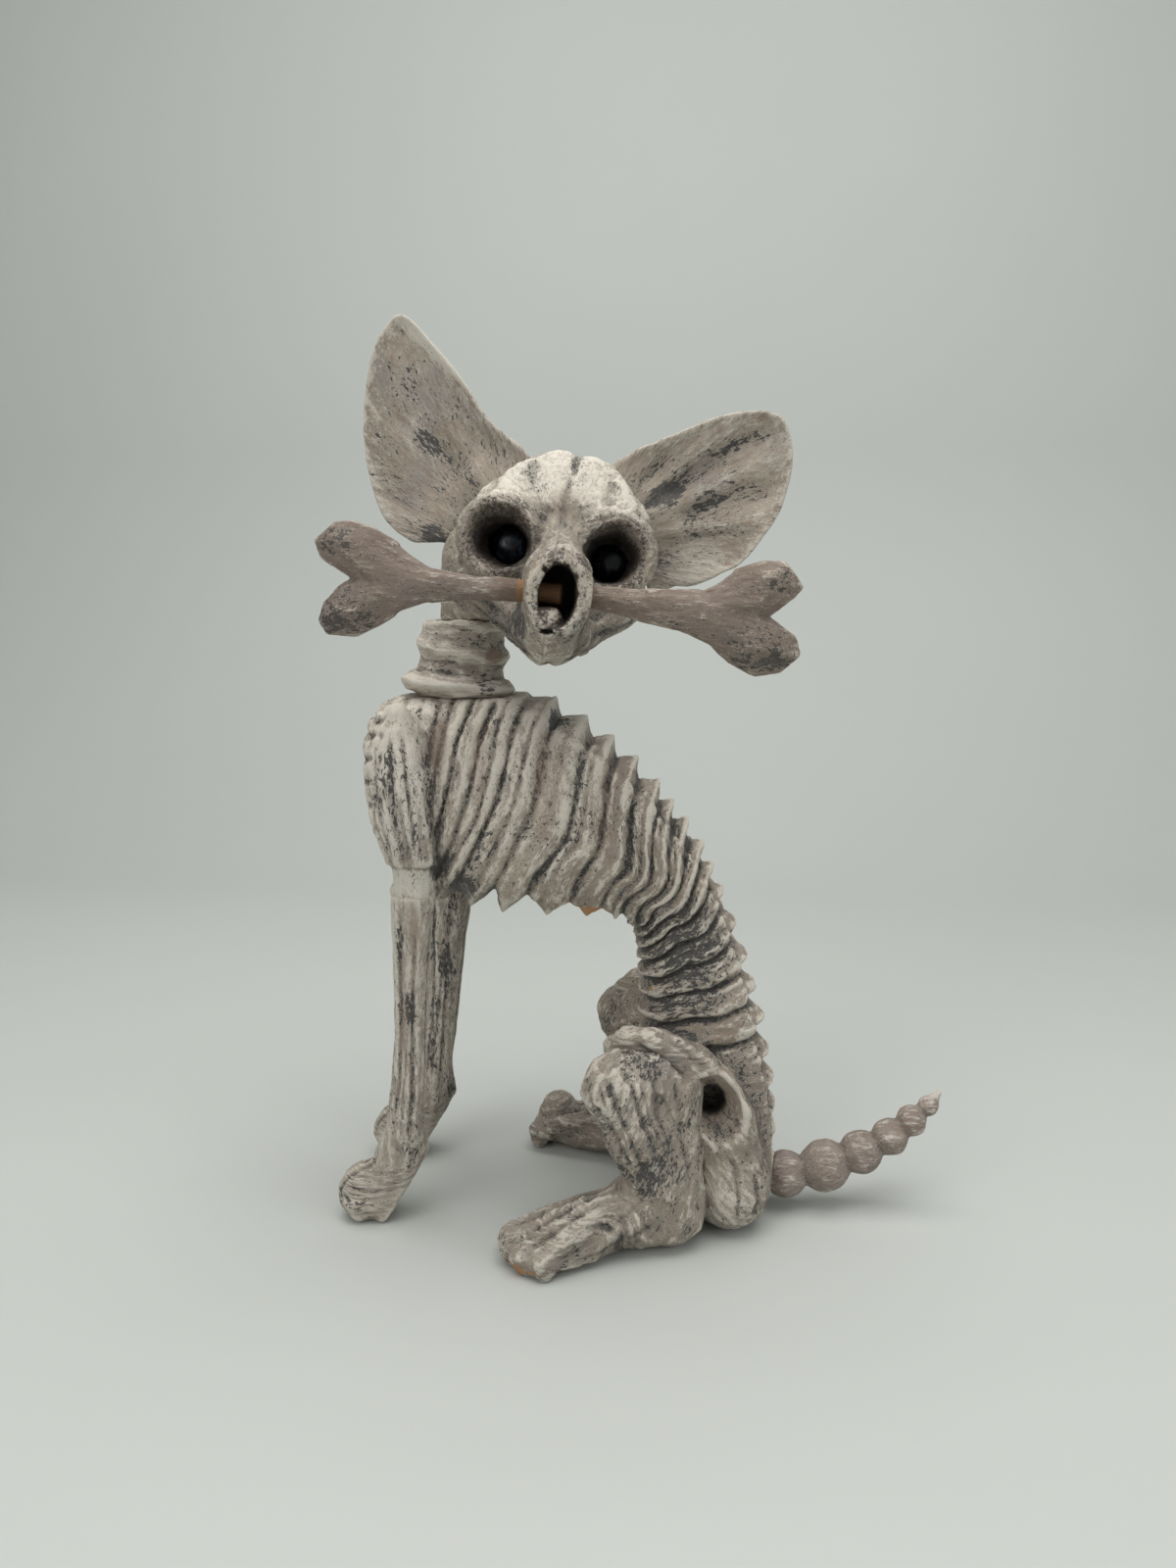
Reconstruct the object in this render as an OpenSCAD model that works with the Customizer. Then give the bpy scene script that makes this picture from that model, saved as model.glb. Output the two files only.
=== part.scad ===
// Seated skeleton dog, a hand-carved wooden folk figure with a two-part bone in its muzzle.
// Millimetres, +Z up. The dog's chest faces -X, its tail +X, and its turned head looks along -Y.
// The origin is on the resting plane, under the middle of the figure's footprint.

/* [Trunk] */
// Number of carved rib and vertebra steps along the back
rib_count = 19; // [12:1:24]
// Depth of the groove between two ribs
rib_depth = 2.6; // [0:0.2:3.6]
// Half width of the rib cage
chest_half_w = 43; // [38:1:46]
// Half width of the waist
waist_half_w = 19; // [17:1:24]

/* [Neck] */
// Radius of the collar ring at the foot of the neck
collar_r = 25.5; // [24:0.5:27]
// Radius of the upper neck ring
neck_r = 21.5; // [19:0.5:23]

/* [Head] */
// Outer width of an eye socket
socket_d = 35; // [30:1:37]
// Drilled eye hole
eye_hole_d = 16; // [14:0.5:17]
// Half width of the muzzle rim
muzzle_half_w = 13.5; // [12:0.5:15]
// Half height of the muzzle rim
muzzle_half_h = 18; // [16:0.5:19]
// Wall of the muzzle tube
muzzle_wall = 5; // [4:0.5:6]
// Roll of the head, left side up
head_roll = 8; // [4:1:12]
// Turn of the head about the vertical
head_yaw = 5; // [0:1:12]

/* [Ears] */
// Thickness of an ear blade at its foot
ear_t = 11; // [9:0.5:13]
// Radius of the scoop in the ear
ear_scoop_r = 62; // [56:1:80]

/* [Bone] */
// Thickness of the bone, front to back
bone_t = 13; // [11:0.5:14]
// Diameter of the bare wood pegs on the bone
peg_d = 8; // [7:0.25:8.5]
// Fall of the bone toward its right end, degrees
bone_fall = 5; // [3:1:7]

/* [Tail] */
// Diameter of the tail tenon
tail_peg_d = 9; // [8:0.5:10]
// Length of the tail tenon
tail_peg_l = 20; // [15:1:24]

/* [Hidden dowels] */
// Diameter of the neck and head dowels
neck_dowel_d = 12; // [10:1:14]
// Diameter of the leg and ear dowels
limb_dowel_d = 8; // [6:1:9]
// Radial glue gap round a dowel
gap = 0.05; // [0.03:0.01:0.1]

/* [Hidden] */
// The carved figure is laid out about its spine and then centred over its footprint
centre = [-22.6, 1.9, 0];
head_at = [-11, -6, 307];
muzzle_at = [2.5, -42, -20];
muzzle_len = 36;
bone_at = [-5.6, -70, 286.5];
elbow_z = 158;
hip_y = 22;
collar_z = 241;
skull_z = 274;
tail_at = [85, 0, 14.5];
tail_rise = 11;
tail_turn = 5;
coat = [0.62, 0.58, 0.53];
pale = [0.75, 0.72, 0.66];
bone_c = [0.50, 0.43, 0.38];
bare = [0.52, 0.39, 0.27];

function sp(v, e) = sign(v) * pow(abs(v), e);
function cr(L, t) = let (n = len(L), i = min(floor(t), n - 2), f = t - i,
  a = L[max(i - 1, 0)], b = L[i], c = L[i + 1], d = L[min(i + 2, n - 1)])
  0.5 * (2 * b + (c - a) * f + (2 * a - 5 * b + 4 * c - d) * f * f + (3 * b - a - 3 * c + d) * f * f * f);
// A closed skin over rings of equal length
module loft(R) {
  n = len(R[0]);
  m = len(R);
  polyhedron(points = [for (r = R) each r],
    faces = concat([[for (k = [0:n - 1]) k]],
      [for (i = [0:m - 2], k = [0:n - 1]) let (q = (k + 1) % n)
        each [[i * n + k, (i + 1) * n + k, (i + 1) * n + q], [i * n + k, (i + 1) * n + q, i * n + q]]],
      [[for (k = [0:n - 1]) (m - 1) * n + n - 1 - k]]));
}
module place() translate(centre) children();
module in_head() translate(head_at) rotate([0, head_roll, head_yaw]) children();

// Back point x, z, belly point x, z, and half width of each trunk section, chest to rump
trunk = [
  [-102, 220, -105, 178, 12], [-93, 236, -104, 160, 30], [-73, 243, -90, 150, 39], [-45, 245, -72, 148, chest_half_w],
  [-17, 241, -58, 149, chest_half_w + 1], [3, 229, -46, 148, chest_half_w], [20, 214, -33, 147, chest_half_w - 2],
  [34, 199, -18, 147, chest_half_w - 5], [46, 182, -4, 147, chest_half_w - 9], [54, 167, 8, 147, chest_half_w - 14],
  [61, 152, 17, 142, waist_half_w + 4], [68, 135, 21, 129, waist_half_w + 1], [74, 116, 23, 112, waist_half_w],
  [79, 96, 24, 95, waist_half_w + 3], [84, 74, 22, 76, 29], [87, 52, 18, 54, 34], [88, 32, 16, 34, 35],
  [87, 16, 18, 17, 33], [82, 5, 25, 5, 27], [76, 0, 32, 0, 20]];
trunk_sides = 20;
trunk_rings = 3 * rib_count;
function trunk_ring(t, groove, n) = let (s = cr(trunk, t), c = [(s[0] + s[2]) / 2, 0, (s[1] + s[3]) / 2],
  u = [(s[0] - s[2]) / 2, 0, (s[1] - s[3]) / 2], r = norm(u), k = (r - groove) / r)
  [for (j = [0:n - 1]) let (a = 360 * j / n) c + u * k * sp(cos(a), 0.85) + [0, -(s[4] - groove) * sp(sin(a), 0.85), 0]];

// Section with a flat sole: centre c, half axes u and v
function sole_ring(c, u, v, n, e) = [for (j = [0:n - 1]) let (g = 360 * j / n, p = c + u * sp(cos(g), e) + v * sp(sin(g), e)) [p[0], p[1], max(0, p[2])]];

module torso() color(coat) difference() {
  union() {
    difference() {
      loft([for (i = [0:trunk_rings]) let (t = i * (len(trunk) - 1) / trunk_rings,
        g = (i % 3 == 0 && i > 6 && i < trunk_rings - 8) ? rib_depth : 0) trunk_ring(t, g, trunk_sides)]);
      // Flat shelf under the collar
      translate([-58, 0, collar_z]) cylinder(r = 40, h = 20, $fn = 64);
      // Flat seats for the hind legs
      for (s = [-1, 1]) translate([-20, s > 0 ? hip_y : -hip_y - 40, -1]) cube([73.5, 40, 112]);
    }
    // Shoulder blocks, one each side, with a flat underside at the elbow
    for (s = [-1, 1]) translate([-72.5, s * 36, 0]) rotate_extrude($fn = 48) polygon([[0, elbow_z], [11, elbow_z], [12.8, elbow_z + 5],
      [13, 180], [12.6, 205], [11, 222], [7, 234], [0, 238]]);
  }
  translate([-58, 0, collar_z - 18]) cylinder(d = neck_dowel_d + 2 * gap, h = 30, $fn = 48);
  for (s = [-1, 1]) {
    translate([-74.5, s * 33, elbow_z - 25]) cylinder(r = 12.5, h = 25, $fn = 48);
    translate([-74, s * 34, elbow_z - 5]) cylinder(d = limb_dowel_d + 2 * gap, h = 21, $fn = 32);
    translate([36, s * (hip_y - 14), 60]) rotate([s * -90, 0, 0]) cylinder(d = limb_dowel_d + 2 * gap, h = 40, $fn = 32);
  }
  translate(tail_at) rotate([0, 90 - tail_rise, tail_turn]) {
    cylinder(r = 16, h = 20, $fn = 48);
    translate([0, 0, -tail_peg_l - 1]) cylinder(d = tail_peg_d + 2 * gap, h = 40, $fn = 32);
  }
}

module neck() color(coat) difference() {
  translate([-58, 0, collar_z]) rotate_extrude($fn = 48) polygon([[0, 0], [collar_r, 0], [collar_r + 0.5, 4], [collar_r - 1, 7],
    [neck_r - 1.5, 9], [neck_r - 2, 12], [neck_r, 15], [neck_r + 0.5, 19], [neck_r - 0.5, 22],
    [neck_r - 4, 25], [neck_r - 4.5, 27], [neck_r - 3, 29], [neck_r - 2, 31], [neck_r - 2.5, 33], [0, 33]]);
  translate([-58, 0, collar_z - 5]) cylinder(d = neck_dowel_d + 2 * gap, h = 18, $fn = 48);
  translate([-55, 0, skull_z - 13]) cylinder(d = neck_dowel_d + 2 * gap, h = 30, $fn = 48);
}

// Skull and muzzle sections in the head's frame: y, centre x, centre z, half width, half height
skull_s = [[42, 0, 4, 8, 8], [38, 0, 3, 20, 17], [30, 0, 1, 31, 27], [18, 0, 0, 37, 35], [5, 0, 0, 41, 38], [-8, 0, 0, 42, 38],
  [-20, 0, -2, 41, 37], [-30, 0, -5, 38, 35], [-36, 0, -8, 33, 32], [-40, 1, -18, 22, 27], [-44, 1.5, -22.5, 17.5, 24], [-54, 2, -23, 15.5, 23],
  [-62, 2.5, -22.5, 14.5, 21.5], [-70, 2.5, -20.5, muzzle_half_w + 0.3, muzzle_half_h + 0.8], [-42 - muzzle_len, 2.5, -20, muzzle_half_w - 1.2, muzzle_half_h - 1.2]];
module skull() color(pale) difference() {
  union() {
    in_head() loft([for (q = skull_s) [for (j = [0:23]) let (g = 360 * j / 24) [q[1] + q[3] * sp(cos(g), 0.9), q[0], q[2] + q[4] * sp(sin(g), 0.9)]]]);
    // Nape over the neck
    translate([-52, 2, 0]) rotate_extrude($fn = 64) polygon([[0, skull_z], [18.5, skull_z], [21.5, skull_z + 5], [24, 288], [24, 300], [19, 312], [0, 320]]);
  }
  in_head() {
    // Bowl of each eye socket, then its drilled hole
    for (s = [-1, 1]) translate([s * 22, -30, -3]) rotate([90, 0, s * 14]) {
      translate([0, 0, -8]) cylinder(d1 = eye_hole_d + 3, d2 = socket_d + 10, h = 20, $fn = 48);
      translate([0, 0, -24]) cylinder(d = eye_hole_d + 2 * gap, h = 34, $fn = 48);
    }
    // Mouth, an upright oval seen from the front, cut as two round bores and the block between them
    translate(muzzle_at + [0, -muzzle_len - 2, 0]) rotate([-90, 0, 0]) {
      for (s = [-1, 1]) translate([0, s * 5, 0]) cylinder(r = muzzle_half_w - muzzle_wall, h = 30, $fn = 48);
      translate([-muzzle_half_w + muzzle_wall, -5, 0]) cube([2 * (muzzle_half_w - muzzle_wall), 10, 30]);
    }
  }
  // Peg holes through both cheeks of the muzzle
  translate(bone_at) rotate([0, 90 + bone_fall, 0]) translate([0, 0, -30]) cylinder(d = peg_d + 2 * gap, h = 60, $fn = 32);
  // Seats of the neck, and of both ears
  translate([-56, 0, skull_z - 40]) cylinder(r = 27, h = 40, $fn = 64);
  translate([-55, 0, skull_z - 5]) cylinder(d = neck_dowel_d + 2 * gap, h = 20, $fn = 48);
  ear_r_at() ear_seat();
  ear_l_at() ear_seat();
}

module eye(s) color([0.06, 0.07, 0.1]) in_head() translate([s * 22, -30, -3]) rotate([90, 0, s * 14]) intersection() {
  translate([0, 0, -24]) cylinder(d = eye_hole_d, h = 12, $fn = 48);
  translate([0, 0, -27]) sphere(d = eye_hole_d + 14, $fn = 64);
}

// Ear frames: local +X runs out from the seat on the skull, local -Y faces forward
module ear_r_at() translate([-41, 4, 327]) rotate([0, -138.5, 0]) children();
module ear_l_at() translate([23.5, 4, 313.5]) rotate([0, -17.5, 0]) children();
module ear_seat() {
  translate([0, -ear_t / 2 - 1, -42]) cube([30, ear_t + 2, 84]);
  translate([-13, 0, 0]) rotate([0, 90, 0]) cylinder(d = limb_dowel_d + 2 * gap, h = 30, $fn = 32);
}
module ear(pts) difference() {
  translate([0, ear_t / 2, 0]) rotate([90, 0, 0]) linear_extrude(height = ear_t) polygon(pts);
  translate([44, -ear_scoop_r + 1, 4]) sphere(r = ear_scoop_r, $fn = 96);
  // Back of the blade, tapering to the tip
  translate([0, ear_t / 2, -60]) rotate([0, 0, -3]) cube([120, 20, 120]);
  translate([-1, 0, 0]) rotate([0, 90, 0]) cylinder(d = limb_dowel_d + 2 * gap, h = 15, $fn = 32);
}
module ear_right() color(coat) ear_r_at() ear([[0, -18], [0, 18], [12, 34], [16, 38.5], [24, 40], [32, 39], [42, 34], [55, 24], [66, 12], [76, -3],
  [81, -14], [82, -26], [81, -31], [76, -33], [64, -32], [43, -29], [24, -24]]);
module ear_left() color(coat) ear_l_at() ear([[0, -24], [0, 27], [5, 32], [18, 33.5], [42, 35], [54, 34], [64, 31], [70, 26], [71.5, 18], [70, 9], [65, -2],
  [58, -12], [47, -21], [38, -27], [30, -29], [16, -30], [6, -28]]);

// Half of the bone: shaft toward the muzzle, two lobes outside, in its own frame with +X outward
bone_p = [[14.2, 4.5], [26, 4.5], [42, 5.5], [49, 7], [56, 11], [62, 15], [69, 19], [77, 21], [85, 20], [91, 13], [91, 10], [79, -0.5],
  [88, -8], [91, -15], [86, -22], [75, -23], [66, -19], [58, -13], [49, -9], [41, -7], [30, -5.5], [14.2, -4.5]];
module bone_half(peg_end) {
  difference() {
    translate([0, bone_t / 2, 0]) rotate([90, 0, 0]) linear_extrude(height = bone_t) polygon(bone_p);
    // The shaft is flattened toward the muzzle
    for (s = [-1, 1]) translate([0, s * (bone_t / 2 + 5), -30]) rotate([0, 0, s * -3]) translate([-10, -5, 0]) cube([62, 10, 60]);
  }
  translate([peg_end, 0, 0]) rotate([0, 90, 0]) cylinder(d = peg_d, h = 22 - peg_end, $fn = 32);
}
module bone_left_half() color(bone_c) translate(bone_at) rotate([0, bone_fall, 0]) translate([2.2, 0, 0]) bone_half(7.5);
module bone_right_half() color(bone_c) translate(bone_at) rotate([0, bone_fall, 0]) mirror([1, 0, 0]) translate([2.2, 0, 0]) bone_half(-4);

// Front leg sections from elbow to toes: centre x, z, tilt, half depth, half width
front_s = [[-74.5, 158, 0, 9.8, 9.4], [-75, 150, 0, 9.4, 9], [-76, 128, 0, 8.2, 8], [-77, 95, 0, 7, 7.4], [-79.5, 66, 0, 7.6, 7.4],
  [-82.5, 42, 0, 9.5, 8.5], [-85, 28, -12, 11, 10], [-88, 18, -38, 16, 11.5], [-94, 12, -62, 16, 13], [-102, 9.5, -80, 12.5, 14.5],
  [-110, 8, -90, 9.5, 14.5], [-117, 7, -90, 7.5, 12.5], [-120.5, 6, -90, 4.5, 8]];
module front_leg(s) color(coat) difference() {
  loft([for (q = front_s) sole_ring([q[0], s * 32, q[1]], q[3] * [cos(q[2]), 0, sin(q[2])], [0, q[4], 0], 16, 0.9)]);
  translate([-74, s * 34, elbow_z - 16]) cylinder(d = limb_dowel_d + 2 * gap, h = 30, $fn = 32);
}
module front_leg_left() front_leg(-1);
module front_leg_right() front_leg(1);

// Hind leg sections from the crest down the thigh, round the heel and out to the toes:
// front x, z, back x, z, distance from the middle plane, half width, turn of the section
hind_s = [[17, 102, 36, 102, 36, 9, 0], [9, 95, 46, 96, 37, 15, 0], [1, 82, 52.8, 83, 39, 18, 0], [0.5, 72, 52.8, 66, 40, 19, 0],
  [5, 60, 52.8, 48, 40, 18.5, 0], [11, 48, 53, 30, 39, 17, 0], [15, 41, 52.8, 14, 38, 15.5, 8], [14, 38.5, 50, 1, 38, 15, 14],
  [11, 37, 34, -1, 41, 15, 20], [3, 34, 16, -1, 46, 15.5, 26], [-9, 28, -4, -1, 53, 16.5, 29], [-20, 23, -18, -1, 59, 17.5, 29],
  [-30, 18, -30, -1, 64, 18, 29], [-37, 13, -37, -1, 67, 16.5, 29], [-40, 8, -40, 1, 68.5, 13, 29]];
module hind_leg(s) color(coat) difference() {
  loft([for (q = hind_s) sole_ring([(q[0] + q[2]) / 2, s * q[4], (q[1] + q[3]) / 2], [q[2] - q[0], 0, q[3] - q[1]] / 2,
    q[5] * [s * sin(q[6]), cos(q[6]), 0], 18, 0.85)]);
  translate([-60, s > 0 ? -40 + hip_y : -hip_y, -1]) cube([140, 40, 140]);
  translate([36, s * (hip_y - 5), 60]) rotate([s * -90, 0, 0]) cylinder(d = limb_dowel_d + 2 * gap, h = 19, $fn = 32);
}
module hind_leg_left() hind_leg(-1);
module hind_leg_right() hind_leg(1);

// Tail: rings of the string of beads, centre and radius, from the seat to the tip
tail_dir = [cos(tail_rise) * cos(tail_turn), cos(tail_rise) * sin(tail_turn), sin(tail_rise)];
tail_s = [[tail_at, 8], [tail_at + 4 * tail_dir, 10.6], [[93.5, 1, 16], 11.4], [[98.3, 1.5, 17], 10.2], [[102.2, 1.9, 17.9], 7],
  [[106, 2.3, 18.7], 10.4], [[112, 3, 20], 12.4], [[117, 3.6, 22], 10.9], [[121.4, 4.1, 23.7], 6.7],
  [[124.3, 4.5, 24.9], 9.2], [[128.5, 5, 26.5], 10.4], [[132.3, 5.6, 28.6], 9.1], [[135.7, 6.1, 30.4], 6],
  [[138.2, 6.5, 31.7], 8.1], [[141.5, 7, 33.5], 9.1], [[144.6, 7.6, 35.9], 7.8], [[147.3, 8.2, 37.8], 5.2],
  [[149.3, 8.6, 39.4], 6.8], [[151.5, 9, 41], 7.6], [[153.9, 9.6, 43.1], 6.4], [[156.3, 10.3, 45.2], 4.2],
  [[157.9, 10.6, 46.6], 4.9], [[159.5, 11, 48], 5.2], [[161.5, 11.4, 51], 3.7], [[164.7, 11.9, 55.3], 1.4]];
function tail_ring(i) = let (m = len(tail_s), d = tail_s[min(i + 1, m - 1)][0] - tail_s[max(i - (i == 1 ? 0 : 1), 0)][0],
  f = d / norm(d), u = cross(f, [0, 0, 1]) / norm(cross(f, [0, 0, 1])), w = cross(f, u))
  [for (j = [0:13]) tail_s[i][0] + tail_s[i][1] * (u * cos(360 * j / 14) + w * sin(360 * j / 14))];
module tail() color([0.56, 0.50, 0.47]) {
  loft([for (i = [0:len(tail_s) - 1]) tail_ring(i)]);
  translate(tail_at) rotate([0, 90 - tail_rise, tail_turn]) translate([0, 0, -tail_peg_l]) cylinder(d = tail_peg_d, h = tail_peg_l + 6, $fn = 32);
}

module neck_dowel() color(bare) translate([-58, 0, collar_z - 17]) cylinder(d = neck_dowel_d, h = 29, $fn = 48);
module head_dowel() color(bare) translate([-55, 0, skull_z - 12]) cylinder(d = neck_dowel_d, h = 26, $fn = 48);
module ear_dowels() color(bare) {
  ear_r_at() translate([-12, 0, 0]) rotate([0, 90, 0]) cylinder(d = limb_dowel_d, h = 25, $fn = 32);
  ear_l_at() translate([-12, 0, 0]) rotate([0, 90, 0]) cylinder(d = limb_dowel_d, h = 25, $fn = 32);
}
module front_leg_dowels() color(bare) for (s = [-1, 1]) translate([-74, s * 34, elbow_z - 15]) cylinder(d = limb_dowel_d, h = 30, $fn = 32);
module hind_leg_dowels() color(bare) for (s = [-1, 1]) translate([36, s * (hip_y - 13), 60]) rotate([s * -90, 0, 0]) cylinder(d = limb_dowel_d, h = 26, $fn = 32);

place() torso();
place() neck();
place() skull();
place() eye(-1);  // eye_right
place() eye(1);  // eye_left
place() ear_right();
place() ear_left();
place() bone_right_half();
place() bone_left_half();
place() front_leg_left();
place() front_leg_right();
place() hind_leg_left();
place() hind_leg_right();
place() tail();
place() neck_dowel();
place() head_dowel();
place() ear_dowels();
place() front_leg_dowels();
place() hind_leg_dowels();
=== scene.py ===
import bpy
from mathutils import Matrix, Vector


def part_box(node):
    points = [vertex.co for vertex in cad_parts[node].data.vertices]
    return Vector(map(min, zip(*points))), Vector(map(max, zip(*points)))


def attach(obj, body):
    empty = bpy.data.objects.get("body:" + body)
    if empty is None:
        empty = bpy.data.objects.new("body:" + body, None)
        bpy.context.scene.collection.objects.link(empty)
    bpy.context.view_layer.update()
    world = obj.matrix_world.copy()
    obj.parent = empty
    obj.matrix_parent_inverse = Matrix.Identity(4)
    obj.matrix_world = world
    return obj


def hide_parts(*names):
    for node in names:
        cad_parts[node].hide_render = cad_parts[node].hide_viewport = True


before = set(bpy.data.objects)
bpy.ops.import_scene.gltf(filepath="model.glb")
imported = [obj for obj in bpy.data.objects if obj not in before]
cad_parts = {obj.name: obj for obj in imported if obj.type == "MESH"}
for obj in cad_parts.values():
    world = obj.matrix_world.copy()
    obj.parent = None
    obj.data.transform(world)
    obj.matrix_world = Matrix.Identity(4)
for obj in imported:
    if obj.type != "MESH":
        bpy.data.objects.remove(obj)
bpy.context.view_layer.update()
import math

import bpy
import numpy as np
from mathutils import Matrix, Vector, kdtree

COARSE = 1.0
f32 = np.float32

# ---------------------------------------------------------------- frame
# Shapes are worked out in millimetres about the spine; the CAD's own boxes say where that is in the row frame.
_lo, _hi = (np.array(v, float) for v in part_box("neck"))
SHIFT = np.array([(_lo[0] + _hi[0]) / 2 * 1000 + 58, (_lo[1] + _hi[1]) / 2 * 1000, 0.0])


def rot_y(deg):
    a = math.radians(deg)
    c, s = math.cos(a), math.sin(a)
    return np.array([[c, 0, s], [0, 1, 0], [-s, 0, c]])


def rot_z(deg):
    a = math.radians(deg)
    c, s = math.cos(a), math.sin(a)
    return np.array([[c, -s, 0], [s, c, 0], [0, 0, 1]])


HEAD_AT = np.array([-11.0, -6.0, 307.0])
HEAD_R = rot_z(5) @ rot_y(8)
BONE_AT = np.array([-5.6, -70.0, 286.5])
BONE_R = rot_y(5)
EAR_R_AT, EAR_R_R = np.array([-41.0, 4.0, 327.0]), rot_y(-138.5)
EAR_L_AT, EAR_L_R = np.array([23.5, 4.0, 313.5]), rot_y(-17.5)
TAIL_AT, TAIL_R = np.array([85.0, 0.0, 14.5]), rot_z(5) @ rot_y(90 - 11)


# ---------------------------------------------------------------- fields
def smin(a, b, k):
    h = np.clip(0.5 + 0.5 * (b - a) / k, 0, 1)
    return b + (a - b) * h - k * h * (1 - h)


def smax(a, b, k):
    return -smin(-a, -b, k)


def sstep(a, b, x):
    t = np.clip((x - a) / (b - a), 0, 1)
    return t * t * (3 - 2 * t)


_R = np.random.default_rng(7).random((4, 48, 48, 48)).astype(f32)


def vnoise(p, scale, seed=0):
    """Smooth lattice noise, 0 to 1, at points p (n, 3)."""
    q = np.asarray(p) * np.asarray(scale) + 17.3 * (seed + 1)
    i = np.floor(q).astype(int)
    f = q - i
    u = f * f * (3 - 2 * f)
    R = _R[seed % 4]
    out = 0
    for dx in (0, 1):
        for dy in (0, 1):
            for dz in (0, 1):
                w = (u[:, 0] if dx else 1 - u[:, 0]) * (u[:, 1] if dy else 1 - u[:, 1]) * (u[:, 2] if dz else 1 - u[:, 2])
                out = out + w * R[(i[:, 0] + dx) % 48, (i[:, 1] + dy) % 48, (i[:, 2] + dz) % 48]
    return out


class Field:
    """A distance field on a grid, in millimetres. M, c: the grid's own frame in the figure's frame."""

    def __init__(self, lo, hi, h, M=None, c=None):
        self.h = h * COARSE
        self.lo = np.array(lo, float)
        self.n = np.ceil((np.array(hi, float) - self.lo) / self.h).astype(int) + 1
        self.F = np.full(self.n, 60.0, f32)
        self.ax = [(self.lo[i] + self.h * np.arange(self.n[i])).astype(f32) for i in range(3)]
        self.M = np.eye(3) if M is None else M
        self.c = np.zeros(3) if c is None else np.array(c, float)

    def block(self, lo, hi, pad):
        s = []
        for i in range(3):
            a = int(max(0, math.floor((lo[i] - pad - self.lo[i]) / self.h)))
            b = int(min(self.n[i], math.ceil((hi[i] + pad - self.lo[i]) / self.h) + 1))
            if b <= a:
                return None
            s.append(slice(a, b))
        X = self.ax[0][s[0]][:, None, None]
        Y = self.ax[1][s[1]][None, :, None]
        Z = self.ax[2][s[2]][None, None, :]
        return tuple(s), X, Y, Z

    def all(self):
        return self.ax[0][:, None, None], self.ax[1][None, :, None], self.ax[2][None, None, :]

    def add(self, prim, k=2.0):
        fn, lo, hi = prim
        b = self.block(lo, hi, k + 2)
        if b:
            s, X, Y, Z = b
            self.F[s] = smin(self.F[s], fn(X, Y, Z).astype(f32), k)

    def sub(self, prim, k=1.0):
        fn, lo, hi = prim
        b = self.block(lo, hi, k + 2)
        if b:
            s, X, Y, Z = b
            self.F[s] = smax(self.F[s], -fn(X, Y, Z).astype(f32), k)

    def cut(self, fn, k=0.3):
        self.F = smax(self.F, fn(*self.all()).astype(f32), k)


def cone(a, b, ra, rb, sq=(1, 1, 1)):
    """A round cone from a to b. sq stretches it: a radius along an axis is multiplied by that axis's number."""
    a, b = np.array(a, float), np.array(b, float)
    s = np.array(sq, float)
    A, B = a / s, b / s
    d = B - A
    L = max(float(d @ d), 1e-9)
    m = float(min(s))

    def fn(X, Y, Z):
        x, y, z = X / s[0], Y / s[1], Z / s[2]
        t = np.clip(((x - A[0]) * d[0] + (y - A[1]) * d[1] + (z - A[2]) * d[2]) / L, 0, 1)
        r = ra + (rb - ra) * t
        return (np.sqrt((x - A[0] - t * d[0]) ** 2 + (y - A[1] - t * d[1]) ** 2 + (z - A[2] - t * d[2]) ** 2) - r) * m

    R = max(ra, rb) * s
    return fn, np.minimum(a, b) - R, np.maximum(a, b) + R


def ball(c, r, M=None):
    """An ellipsoid with radii r; M's columns are its own axes."""
    c, r = np.array(c, float), np.array(r, float) * np.ones(3)
    M = np.eye(3) if M is None else M

    def fn(X, Y, Z):
        x, y, z = X - c[0], Y - c[1], Z - c[2]
        p = [(x * M[0, i] + y * M[1, i] + z * M[2, i]) / r[i] for i in range(3)]
        k0 = np.sqrt(p[0] ** 2 + p[1] ** 2 + p[2] ** 2)
        k1 = np.sqrt((p[0] / r[0]) ** 2 + (p[1] / r[1]) ** 2 + (p[2] / r[2]) ** 2)
        return k0 * (k0 - 1) / np.maximum(k1, 1e-4)

    R = np.sqrt((M ** 2) @ (r ** 2))
    return fn, c - R, c + R


def ring(c, n, R, r, sq=1.0, e=2.0):
    """A torus about axis n."""
    c, n = np.array(c, float), np.array(n, float)
    n = n / np.linalg.norm(n)

    def fn(X, Y, Z):
        x, y, z = X - c[0], Y - c[1], Z - c[2]
        h = x * n[0] + y * n[1] + z * n[2]
        q = np.abs(np.sqrt(np.maximum(x * x + y * y + z * z - h * h, 0)) - R)
        return (q ** e + np.abs(h / sq) ** e) ** (1 / e) - r

    return fn, c - (R + r), c + (R + r)


def tube_y(keys, p=2.3):
    """A body along Y with oval sections. keys: y, centre x, centre z, half width, half height."""
    K = np.array(sorted(keys), float)

    def fn(X, Y, Z):
        y = np.clip(Y, K[0, 0], K[-1, 0])
        cx, cz, w, h = (np.interp(y, K[:, 0], K[:, i]) for i in (1, 2, 3, 4))
        a, b = X - cx, Z - cz
        rho = np.maximum((np.abs(a / w) ** p + np.abs(b / h) ** p) ** (1 / p), 1e-3)
        L = np.sqrt(a * a + b * b)
        return smax(np.where(rho < 0.05, -np.minimum(w, h) + L, L - L / rho), np.abs(Y - (K[0, 0] + K[-1, 0]) / 2) - (K[-1, 0] - K[0, 0]) / 2 + 0 * L, 1.5)

    return fn, np.array([(K[:, 1] - K[:, 3]).min(), K[0, 0], (K[:, 2] - K[:, 4]).min()]), np.array([(K[:, 1] + K[:, 3]).max(), K[-1, 0], (K[:, 2] + K[:, 4]).max()])


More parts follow.
